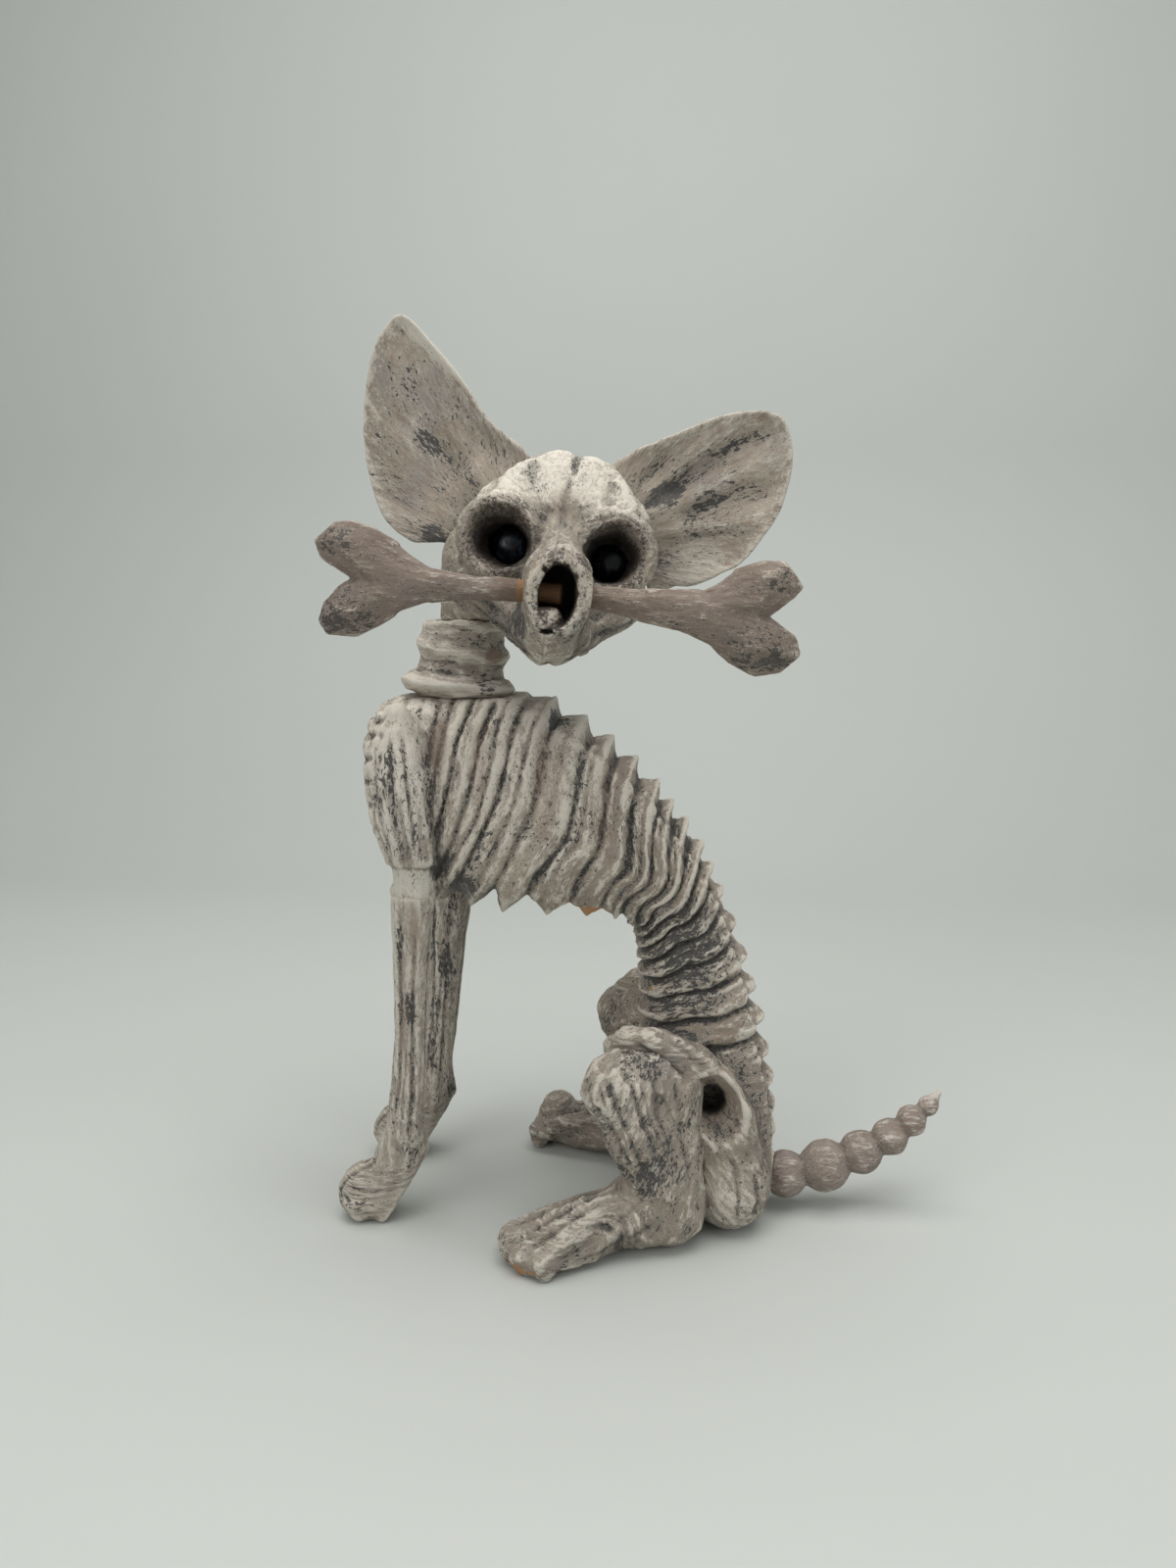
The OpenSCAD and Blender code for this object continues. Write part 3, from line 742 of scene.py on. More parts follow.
def rib_phase(t, v):
    k = np.arange(len(G_BACK))
    pb, pm, pf = (np.interp(t, G, k) for G in (G_BACK, G_MID, G_BELLY))
    sb = sstep(0.05, 1.0, v)
    sf = sstep(0.0, 1.05, -v)
    return pm + (pb - pm) * sb + (pf - pm) * sf


def trunk_prim():
    lo, hi = np.array([-112, -50, -3.0]), np.array([96, 50, 250.0])

    def fn(X, Y, Z):
        x2, z2 = X[:, 0, :], Z[0, :, :] if Z.shape[0] == 1 else Z[:, 0, :]
        t, v, a, w, off = trunk_tv(X[:, 0, 0][:, None], Z[0, 0, :][None, :])
        ph = rib_phase(t, v)
        # each rib wanders a little and carries a few finer flutes
        P = np.stack([ph.ravel() * 0.0, v.ravel() * 2.2, ph.ravel() * 0.9], 1)
        ph = ph + (0.30 - 0.24 * sstep(5.0, 7.0, t)) * (vnoise(P, 1.0, 2).reshape(ph.shape) - 0.5)
        f = ph - np.floor(ph)
        k = np.floor(ph)
        # a rib rises slowly and drops off steeply behind, like a shingle
        tri = np.where(f < 0.72, f / 0.72, (1 - f) / 0.28)
        notch = np.clip(1 - np.minimum(f / 0.17, (1 - f) / 0.12), 0, 1) ** 1.15
        rib = 1 - (0.50 * notch + 0.50 * (1 - tri))
        spine = np.where(f < 0.66, (f / 0.66) ** 0.9, ((1 - f) / 0.34) ** 1.1)
        tip = np.where(f < 0.62, f / 0.62, (1 - f) / 0.38)
        wig = 0.5 + 0.5 * np.sin(k * 2.4 + 0.6)
        Q = np.stack([ph.ravel() * 3.6, v.ravel() * 1.5, 0 * v.ravel()], 1)
        Q2 = np.stack([ph.ravel() * 7.3, v.ravel() * 3.2, 4 + 0 * v.ravel()], 1)
        fine = (vnoise(Q, 1.0, 1).reshape(ph.shape) - 0.5) * 2 + 0.5 * (vnoise(Q2, 1.0, 3).reshape(ph.shape) - 0.5) * 2
        split = np.exp(-(((f - 0.42 - 0.14 * np.sin(k * 1.7)) / 0.075) ** 2)) * (np.sin(k * 3.1) > -0.2)
        t3, v3, a3, w3, o3 = (q[:, None, :].astype(f32) for q in (t, v, a, w, off))
        rib3, sp3, tip3, wig3, fine3, split3 = (q[:, None, :].astype(f32) for q in (rib, spine, tip, wig, fine, split))
        qv, qy = v3 * a3, Y
        yy = np.abs(Y) / w3
        p = 2.35
        rho = (np.abs(v3) ** p + yy ** p) ** (1 / p)
        rho = np.maximum(rho, 1e-3)
        L = np.sqrt(qv * qv + qy * qy)
        d = L - L / rho
        # how much of this place is back, flank or belly
        back = sstep(0.86, 0.985, v3 / rho)
        belly = sstep(0.58, 0.93, -v3 / rho)
        flank = np.clip(1 - back - belly, 0, 1)
        low = 1 - sstep(13.2, 14.4, t3) * (1 - back)
        front = sstep(1.6, 2.4, t3)
        lumbar = sstep(9.4, 10.6, t3)
        amp_f = 3.1 + 1.0 * wig3 + 0.5 * sstep(5.5, 8.5, t3) + 0.6 * lumbar
        amp_s = 8.4 * sstep(3.2, 4.4, t3)
        amp_b = 10.0 * (1 - lumbar) * sstep(3.0, 4.6, t3) + 3.4 * lumbar + 1.5
        disp = -(amp_f * flank * (1 - rib3) + amp_s * back * (1 - sp3) + amp_b * belly * (1 - tip3))
        disp = disp - (flank + 0.5 * back) * (1.6 * split3 * rib3 + 0.85 * fine3)
        disp = disp * low * (0.3 + 0.7 * front)
        # furrow beside the row of spines
        disp = disp - 2.0 * np.exp(-(((v3 / rho - 0.90) / 0.045) ** 2)) * sstep(3.6, 5.0, t3) * (1 - sstep(13.5, 15.5, t3))
        d = d - disp
        return np.where((t3 <= 0.001) & (o3 < 0), np.maximum(d, -o3), d)

    return fn, lo, hi


def shoulders(F, s):
    keys = [(236, -78, s * 33, 7.0), (230, -79, s * 34.5, 10.5), (221, -79, s * 36.5, 13.0), (207, -77.5, s * 38, 14.2), (192, -75.8, s * 38.2, 14.0), (181, -73.2, s * 37.6, 12.8), (172, -71.8, s * 37, 11.4)]
    sides = [(-90 * -s, 0.94), (-50 * -s, 0.99), (-12 * -s, 0.97), (-128 * -s, 0.97), (-166 * -s, 1.0), (30 * -s, 1.1), (90 * -s, 1.2), (150 * -s, 1.1)]
    F.add(prism(keys, sides, 0.9, 0.10 * s), 1.6)
    # rounded knob on top of the block
    F.add(cone((-80, s * 33, 231), (-77, s * 36, 236), 6.0, 5.0), 2.5)
    # whitened cuff under the block
    F.add(prism([(173, -71.8, s * 36.2, 10.3), (167, -72.0, s * 35.6, 8.9), (160.5, -72.6, s * 34.5, 8.4)], sides, 0.8), 0.8)
    F.add(prism([(161.5, -73.0, s * 34.2, 9.0), (157, -73.0, s * 34.0, 9.8)], sides, 0.8), 0.8)
    # V line behind the block
    F.sub(cone((-65, s * 44, 226), (-60.5, s * 48.0, 206), 1.6, 2.6), 1.6)
    F.sub(cone((-60.5, s * 48.0, 206), (-58.5, s * 46.5, 184), 2.6, 2.2), 1.6)


def pelvis(F, s):
    # wing of the hip and its rim, round the bowl
    chain(F, [(30, s * 25, 82, 13), (46, s * 25, 72, 14), (58, s * 21, 54, 15.5), (64, s * 17, 34, 17)], 5)
    chain(F, [(19, s * 33.5, 88, 8.5), (34, s * 34, 87, 9.5), (48, s * 33, 80, 10), (59, s * 31, 69, 9.5), (66, s * 28, 54, 8.5), (69, s * 24, 38, 8)], 7)
    chain(F, [(13.5, s * 36.5, 93, 3.4), (21, s * 38, 97.5, 3.6), (31, s * 39, 97, 3.6), (42, s * 39.5, 92.5, 3.4), (53, s * 39.5, 85, 3.2), (62, s * 37.5, 75, 3.2), (69, s * 34.5, 63, 3.2), (73, s * 31, 50, 3.0)], 5.0)
    # buttock
    F.add(ball((66.5, s * 17.5, 22.5), (18.5, 19.5, 22.5)), 4.5)
    F.add(cone((64, s * 25, 46), (68, s * 22, 26), 10.5, 13.5), 5)
    # hip bowl and the hole at its front
    F.sub(ball((59.0, s * 43.5, 65), (13.0, 14.5, 17.5), rot_y(-16)), 2.6)
    F.sub(cone((57.0, s * 40, 66), (56, s * 22, 66), 8.0, 6.6), 1.2)


HIND_S = [(22, 37.5, 92, 10.2), (38, 36.5, 89.5, 11.5)]


def hind(F, s):
    # knob of the knee, thigh and hock
    F.add(ball((15.5, s * 45, 77), (14.6, 13.5, 14.5)), 2.0)
    chain(F, [(20, s * 41, 80, 13.0), (30, s * 36, 80, 13.5), (39, s * 33, 74, 13.5)], 4)
    chain(F, [(17.5, s * 44, 74, 13.5), (25.5, s * 42.5, 54, 13.5), (34, s * 38.5, 34, 14.0), (39, s * 35.5, 17, 15.5)], 4, (1, 0.95, 1))
    chain(F, [(39.5, s * 31, 68, 13), (40, s * 32, 46, 12.8), (41.5, s * 33.0, 26, 12.5)], 6)
    # foot, broadening to four toes set on a slant
    chain(F, [(40, s * 33.5, 15, 14.0), (24, s * 40, 16.5, 13.6), (8, s * 47, 14.5, 12.0), (-6, s * 53.5, 10.5, 10.5), (-15, s * 58, 8.5, 9.5)], 5)
    F.add(cone((2, s * 51, 8), (-17, s * 59.5, 6.5), 12.0, 11.5, (1, 1, 0.6)), 4)
    if s > 0:
        F.add(ball((-21, 61.5, 13), (10, 12.5, 11)), 4)
    for off, r in ((-13.2, 5.2), (-4.6, 5.7), (4.2, 5.7), (12.8, 5.3)):
        tip = np.array([-25.0 + off * 0.66, s * (60.5 + off * 0.72), 0]) - (3.5 if abs(off) > 10 else 0) * np.array([-0.92, 0.38 * s, 0])
        mid = np.array([-9.0, s * 55.0, 0]) + off * 0.9 * np.array([0.42, 0.88 * s, 0])
        base = np.array([5.0, s * 49.0, 0]) + off * 0.55 * np.array([0.38, 0.92 * s, 0])
        F.add(cone((base[0], base[1], 21.5), (mid[0], mid[1], 15.0), r * 0.8, r * 0.95), 1.4)
        F.add(cone((mid[0], mid[1], 15.0), (tip[0], tip[1], 8.4), r * 0.95, r), 1.2)
        F.add(cone((tip[0], tip[1], 8.4), (tip[0] + 1.0, tip[1], 3.5), r * 0.95, r * 0.85), 1.2)


def hind_strokes(s):
    out = []
    for pts, wd, dp in (([(12, 60, 88), (20, 60, 66), (30, 55, 40)], 1.7, 1.7), ([(20, 57, 92), (28, 56, 70), (37, 50, 40)], 1.6, 1.6), ([(30, 51, 90), (36, 50, 66), (43, 46, 36)], 1.6, 1.5), ([(4, 56, 78), (13, 60, 60), (24, 57, 40)], 1.5, 1.4),
        ([(40, 46, 86), (44, 45, 60), (48, 44, 30)], 1.4, 1.1), ([(1, 48, 72), (8, 54, 54), (16, 55, 42)], 1.3, 1.1), ([(8, 58, 84), (15, 61, 68), (24, 58, 48)], 0.9, 1.0), ([(26, 54, 86), (32, 53, 66), (40, 48, 42)], 0.9, 0.9),
        ([(20, 50, 34), (2, 57, 24), (-20, 68, 12)], 1.5, 1.1), ([(18, 45, 35), (0, 51, 26), (-24, 62, 13)], 1.5, 1.2), ([(14, 40, 34), (-4, 45, 25), (-28, 55, 13)], 1.5, 1.1), ([(26, 52, 26), (8, 62, 14), (-12, 74, 9)], 1.3, 0.8), ([(34, 52, 18), (14, 60, 8), (-6, 70, 5)], 1.2, 1.0)):
        out.append(([(x, s * y, z) for x, y, z in pts], wd, 0.68 * dp))
    return out


def ground(F):
    F.cut(lambda X, Y, Z: -Z + 0 * X + 0 * Y, 1.2)


def body_flow(W):
    """Grain of the trunk: along the ribs on the flanks, along the back on the spine."""
    t, v, a, w, off = trunk_tv(W[:, 0], W[:, 2])
    ph = rib_phase(t, v)
    A = np.stack([(v * a) * 0.9 + 0.35 * W[:, 1] * (1 - np.clip(v, 0, 1)), ph * 9.5, W[:, 1] * 0.45], 1)
    B = np.stack([W[:, 2], W[:, 0], W[:, 1]], 1)
    m = (sstep(-57, -62, W[:, 0]) * sstep(27, 31, np.abs(W[:, 1])))[:, None]
    h = (sstep(98, 84, W[:, 2] + 0.5 * np.maximum(W[:, 0] - 60, 0)) * sstep(26, 30, np.abs(W[:, 1]) + 0.12 * (100 - W[:, 2])))[:, None]
    C = np.stack([W[:, 2] * 0.8 - 0.6 * W[:, 0], 0.8 * W[:, 0] + 0.6 * W[:, 2], W[:, 1]], 1)
    A = A * (1 - m) + B * m
    return A * (1 - h) + C * h


def rgn_box(lo, hi):
    lo, hi = np.array(lo, float), np.array(hi, float)

    def fn(X, Y, Z):
        return np.maximum(np.maximum(np.abs(X - (lo[0] + hi[0]) / 2) - (hi[0] - lo[0]) / 2, np.abs(Y - (lo[1] + hi[1]) / 2) - (hi[1] - lo[1]) / 2), np.abs(Z - (lo[2] + hi[2]) / 2) - (hi[2] - lo[2]) / 2)

    return fn


def make_torso():
    F = Field((-113, -52, -3), (97, 52, 252), 1.0)
    F.add(trunk_prim(), 0.5)
    for s in (-1, 1):
        shoulders(F, s)
        pelvis(F, s)
        # small pointed ribs on the front of the chest
        for (ax_, ay_, az_), (bx_, by_, bz_), r in (((-81, 22, 229), (-87.0, 25, 233.5), 7.0), ((-83, 22, 218), (-91.5, 25, 224.0), 7.5), ((-84, 22, 207), (-93.0, 25, 213), 8.0), ((-84, 21, 196), (-92.0, 24, 201), 8.0), ((-81, 21, 184), (-88.0, 23, 190), 7.5)):
            F.add(cone((ax_, s * ay_, az_), (bx_, s * by_, bz_), r, 2.8), 1.2)
    # shelf under the collar, rump seat of the tail
    X, Y, Z = F.all()
    F.F = smax(F.F, (Z - 241 + 0 * X + 0 * Y).astype(f32), 0.8)
    ax = TAIL_R[:, 2]
    dd = (X - TAIL_AT[0]) * ax[0] + (Y - TAIL_AT[1]) * ax[1] + (Z - TAIL_AT[2]) * ax[2]
    rr = np.sqrt(np.maximum((X - TAIL_AT[0]) ** 2 + (Y - TAIL_AT[1]) ** 2 + (Z - TAIL_AT[2]) ** 2 - dd ** 2, 0))
    F.F = smax(F.F, -np.maximum(-dd, rr - 14).astype(f32), 0.3)
    F.F = smax(F.F, -np.maximum(rr - 4.75, -21 - dd).astype(f32), 0.2)
    ground(F)

    def masks(W, V, Nn):
        return {
            "flat": 0.85 * sstep(-86, -92, W[:, 0]) * sstep(40, 30, np.abs(W[:, 1])),
            "chip": blob(W, [((2, -32, 149), (13, 12, 4.2), 1.0), ((28, -19, 111), (3.5, 8, 2.5), 0.9)]),
            # the spot at (57, -38, 68) is painted shade in the near hip bowl
            "dark": np.maximum(blob(W, [((-60, -30, 172), (9, 16, 10), 0.7), ((-52, -34, 160), (9, 16, 10), 0.7), ((57, -38, 68), (8, 12, 10), 1.0), ((-12, -14, 234), (9, 14, 7), 0.9),
                ((45, -12, 178), (12, 20, 10), 0.4), ((40, -20, 125), (26, 26, 34), 0.75)]) - 0.5 * sstep(-86, -91, W[:, 0]), 0),
            "pale": np.maximum(blob(W, [((-74, -30, 236), (13, 16, 12), 1.2), ((-76, -40, 205), (17, 24, 34), 1.1), ((-78, 40, 205), (17, 24, 34), 0.8), ((-72, -36, 166), (14, 20, 8), 1.3), ((-72, 36, 166), (14, 20, 8), 0.9), ((-66, -30, 222), (6, 20, 22), 0.6), ((60, -26, 24), (24, 22, 24), 0.4)]),
                0.48 * sstep(140, 235, W[:, 2]) * sstep(20, 0, W[:, 0])),
            # painted shade in the holes at the front of both hip bowls
            "painted_recess_shade": blob(W, [((57, -26, 66), (9.0, 9, 10), 1.0), ((57, 26, 66), (9.0, 9, 10), 1.0)]),
            # the spot at (58, -34, 66) is painted shade in the near hip bowl
            "brown": blob(W, [((58, -34, 66), (10, 12, 12), 0.6), ((-60, -30, 222), (5, 20, 14), 0.9), ((-14, -34, 205), (8, 18, 30), 0.5), ((10, -30, 190), (8, 18, 24), 0.4), ((-43, -34, 215), (5, 18, 20), 0.5)]),
        }

    strokes = []
    for s in (-1, 1):
        for pts, wd, dp in (([(-84.5, 46, 228), (-83, 48.5, 207), (-79, 48, 178)], 1.2, 1.3), ([(-78.5, 48, 232), (-77, 51.5, 207), (-74, 49.5, 176)], 1.3, 1.6), ([(-72, 47, 230), (-70, 50.5, 205), (-68, 48.5, 176)], 1.2, 1.3),
            ([(-90, 38, 222), (-89, 42, 205), (-84.5, 43, 180)], 1.1, 1.1), ([(-75, 49, 206), (-72.5, 50, 190), (-71, 49, 174)], 0.9, 0.9), ([(-87, 45, 214), (-85, 46.5, 198), (-81, 46, 178)], 0.8, 0.8),
            ([(68, 40, 40), (70, 40, 26), (70, 37, 10)], 1.6, 1.0), ([(78, 33, 34), (79, 34, 22), (77, 31, 10)], 1.3, 0.9), ([(22, 42, 98), (36, 44, 90), (47, 44, 80)], 1.3, 1.2), ([(30, 40, 101), (44, 42, 94), (56, 42, 84)], 1.2, 1.0),
            ([(60, 30, 96), (68, 30, 82), (74, 28, 66)], 1.3, 1.1)):
            strokes.append(([(x, s * y, z) for x, y, z in pts], wd, dp))
    for z, dp in ((232.5, 2.0), (223.5, 2.6), (214.0, 3.0), (204.5, 2.8), (195.0, 2.6), (185.5, 2.0)):
        strokes.append(([(-82, -46, z + 5), (-90, -38, z + 2.5), (-95, -20, z), (-96, 0, z - 0.5), (-95, 20, z), (-90, 38, z + 2.5), (-82, 46, z + 5)], 1.5, 1.15 * dp))
    ob = piece("torso_carving", F, body_flow, BODY, 1, grooves=strokes, rough=[(0.50, (0.09, 0.42, 0.34), 1), (0.28, (0.26, 1.1, 0.9), 2)], masks=masks,
        keep_fn=lambda V: sstep(0.3, 1.2, V[:, 2]))
    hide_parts("torso")
    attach(ob, "figure")


def make_hind(s, name):
    lo = (-48, 20 if s > 0 else -86, -3)
    hi = (60, 86 if s > 0 else -20, 108)
    F = Field(lo, hi, 0.85)
    hind(F, s)
    F.cut(rgn_box((-60, 22 if s > 0 else -90, -5), (58, 90 if s > 0 else -22, 111)), 0.4)
    ground(F)

    def flow(W):
        foot = sstep(34, 12, W[:, 2]) * sstep(34, 8, W[:, 0])
        along = W[:, 2] * 0.9 + 0.35 * W[:, 0]
        a2 = -0.87 * W[:, 0] + 0.49 * s * W[:, 1]
        c1 = 0.49 * W[:, 0] + 0.87 * s * W[:, 1]
        b1 = W[:, 0] * 0.9 - 0.35 * W[:, 2]
        return np.stack([along * (1 - foot) + (a2 + 60) * foot, b1 * (1 - foot) + c1 * foot, W[:, 1] * (1 - foot) + W[:, 2] * foot], 1)

    def masks(W, V, Nn):
        if s > 0:
            return {"dark": blob(W, [((-34, 70, 9), (8, 8, 7), 0.7)])}
        return {
            "chip": blob(W, [((-27, -67, 2.5), (7, 6.5, 4.0), 1.3), ((-20, -74, 3.0), (6, 5, 3.5), 1.1)]),
            "dark": blob(W, [((30, -50, 92), (14, 14, 10), 0.5), ((17, -50, 39), (9, 10, 6), 0.7), ((34, -48, 42), (12, 14, 12), 0.4), ((-34, -58, 8), (6, 8, 7), 0.5)]),
            "pale": 0.12 + blob(W, [((20, -56, 76), (14, 10, 14), 0.35), ((0, -60, 26), (16, 16, 10), 0.3)]),
        }

    ob = piece(name + "_carving", F, flow, BODY, 1, grooves=hind_strokes(s), cut=[((15, 7.5), 0.5, 0.7)], rough=[(0.45, (0.10, 0.40, 0.40), 1), (0.22, (0.28, 1.1, 1.1), 2)], masks=masks,
        keep_fn=lambda V: sstep(0.3, 1.2, V[:, 2]))
    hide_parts(name)
    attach(ob, "figure")


def make_front(s, name):
    F = Field((-128, s * 34 - 24, -3), (-53, s * 34 + 24, 161), 0.75)
    # the near leg leans a little inward, the far one a little outward
    yw, yp, kx = (-29.5, -23.5, 0.0) if s < 0 else (35.0, 39.0, 1.0)
    sides = [(-90 * -s, 0.96), (-52 * -s, 1.0), (-14 * -s, 0.98), (26 * -s, 1.02), (64 * -s, 1.0), (106 * -s, 0.98), (146 * -s, 1.0), (-172 * -s, 0.97), (-131 * -s, 1.01)]
    keys = [(160, -73.0, s * 34, 9.5), (150, -73.6, s * 34, 8.9), (134, -74.6, s * 33.6, 8.1), (112, -75.8, s * 0.35 * 33 + yw * 0.65, 7.5), (92, -77.0, yw, 7.3), (70, -78.6, yw, 7.7), (54, -80.4, yw, 8.2), (42, -81.5, yw * 0.5 + yp * 0.5, 8.8), (30, -83.0, yp, 9.2), (14, -87, yp, 9.2), (0, -90, yp, 8.6)]
    keys = [(z, x + kx * 2.4 * min(max((z - 50) / 80, 0), 1), y, r + kx * 2.6 * min(max((z - 56) / 80, 0), 1)) for z, x, y, r in keys]
    F.add(prism(keys, sides, 0.7, 0.16 * s), 1.0)
    # bulge and back corner of the wrist
    F.add(cone((-80, yw, 46), (-75.5, yp, 34), 6.4, 4.4), 3)
    F.add(cone((-85, yp, 38), (-91, yp, 20), 8.2, 9.4), 5)
    # paw of four rounded toes
    F.add(ball((-97.0, yp, 13.5), (15.5, 11.4, 13.4)), 3)
    F.add(ball((-101.5, yp, 11.5), (12.5, 10.6, 11.4)), 4)
    for off, x1, r in ((-6.9, -104.5, 5.0), (-2.4, -107.6, 5.4), (2.4, -107.6, 5.4), (6.9, -104.5, 5.0)):
        F.add(cone((-95, yp + off * 0.75, 19), (x1, yp + off, 9.8), r * 0.95, r), 2.0)
        F.add(cone((x1, yp + off, 9.8), (x1 + 1.5, yp + off * 0.95, 4.5), r, r * 0.85), 2.0)
    strokes = []
    for dx, dy, wd, dp, z0, z1 in ((-3.6, -8, 1.1, 1.3, 150, 46), (3.4, -8, 1.1, 1.3, 152, 40), (0.2, -8.5, 0.7, 0.8, 120, 40), (-8.0, -3.2, 1.0, 1.0, 146, 50), (-3.6, 8, 1.1, 1.2, 150, 46), (3.4, 8, 1.1, 1.2, 152, 40), (8.2, -1.5, 1.1, 1.2, 150, 44), (8.0, 4.0, 0.9, 0.9, 140, 60), (-8.0, 3.4, 1.0, 1.0, 146, 50)):
        K = np.array(sorted(keys), float)
        zs = np.linspace(z0, z1, 5)
        strokes.append(([(np.interp(z, K[:, 0], K[:, 1]) + dx + 0.8 * math.sin(z * 0.07 + dx), np.interp(z, K[:, 0], K[:, 2]) + dy, z) for z in zs], wd, 0.75 * dp))
    for off in (-4.8, 0.1, 4.9):
        strokes.append(([(-88, yp + off * 0.7, 32), (-98, yp + off * 0.85, 27), (-108, yp + off, 19), (-114, yp + off * 1.05, 8)], 1.1, 0.9))
    # the sole rises behind
    F.cut(lambda X, Y, Z: np.where(Z < 62, (X + 72.0) * 0.85 - (Z - 31) * 0.53, -9.0) + 0 * Y, 1.5)
    F.cut(lambda X, Y, Z: Z - 158 + 0 * X + 0 * Y, 0.4)
    ground(F)

    def flow(W):
        k = sstep(30, 12, W[:, 2])
        return np.stack([W[:, 2] * (1 - k) + (-W[:, 0] - 70) * k, W[:, 0] * (1 - k) + W[:, 1] * k, W[:, 1] * (1 - k) + W[:, 2] * k], 1)

    def masks(W, V, Nn):
        if s > 0:
            return {"pale": 0.36 + 0 * W[:, 0], "dark": 0.12 + blob(W, [((-66, 30, 148), (8, 12, 14), 0.5), ((-71, 30, 110), (4, 10, 14), 0.4), ((-71, 34, 40), (6, 10, 8), 0.6)])}
        return {
            "dark": blob(W, [((-75, -39, 106), (2.6, 6, 12), 0.9), ((-78, -42, 138), (2.2, 6, 10), 0.5), ((-78, -34, 36), (4, 8, 9), 0.5), ((-104, -32, 14), (12, 9, 9), 0.35)]),
            "brown": blob(W, [((-78, -41, 92), (3, 6, 26), 0.9), ((-72, -42, 145), (4, 8, 14), 0.5)]),
            "pale": 0.38 + blob(W, [((-82, -36, 128), (2.5, 8, 30), 0.4)]),
        }

    ob = piece(name + "_carving", F, flow, BODY, 1, grooves=strokes, rough=[(0.38, (0.08, 0.40, 0.40), 1), (0.20, (0.28, 1.1, 1.1), 2)], masks=masks,
        keep_fn=lambda V: sstep(0.3, 1.2, V[:, 2]))
    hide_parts(name)
    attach(ob, "figure")


def make_neck():
    F = Field((-90, -32, 236), (-26, 32, 278), 0.75)
    F.add(cone((-58, 0, 236), (-54, 0, 290), 19, 17.5), 1)
    n1, n2 = (0.10, 0.05, 0.99), (0.20, -0.05, 0.98)
    F.add(ring((-58.3, 0, 245.6), n1, 16.0, 9.8, 0.62, 1.35), 1.2)
    F.add(ring((-55.8, 0, 261.2), n2, 12.4, 9.2, 0.72, 1.35), 1.2)
    F.add(ring((-54.2, 0, 274.0), n2, 11.2, 8.2, 0.62, 1.35), 1.2)
    for z, n, c in ((253.2, n1, -57), (268.8, n2, -55)):
        F.sub(ring((c, 0, z), n, 22.4, 2.6, 0.8), 2.0)
    F.cut(rgn_box((-95, -40, 241), (-20, 40, 274)), 0.5)

    def flow(W):
        a = np.arctan2(W[:, 1], W[:, 0] + 56)
        return np.stack([a * 22, W[:, 2] * 1.0, np.hypot(W[:, 1], W[:, 0] + 56)], 1)

    ob = piece("neck_carving", F, flow, NECKM, 1, cut=[((10, 5), 0.6, 0.9)], rough=[(0.25, (0.12, 0.5, 0.5), 1), (0.12, (0.35, 1.2, 1.2), 2)],
        masks=lambda W, V, Nn: {"brown": blob(W, [((-38, -14, 259), (6, 8, 4), 1.4)]), "dark": blob(W, [((-40, -18, 246), (8, 10, 6), 0.8)]), "pale": 0.38 * np.ones(len(W))})
    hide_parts("neck")
    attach(ob, "figure")


# ---------------------------------------------------------------- head
def to_head(P):
    return (np.asarray(P, float) - HEAD_AT) @ HEAD_R


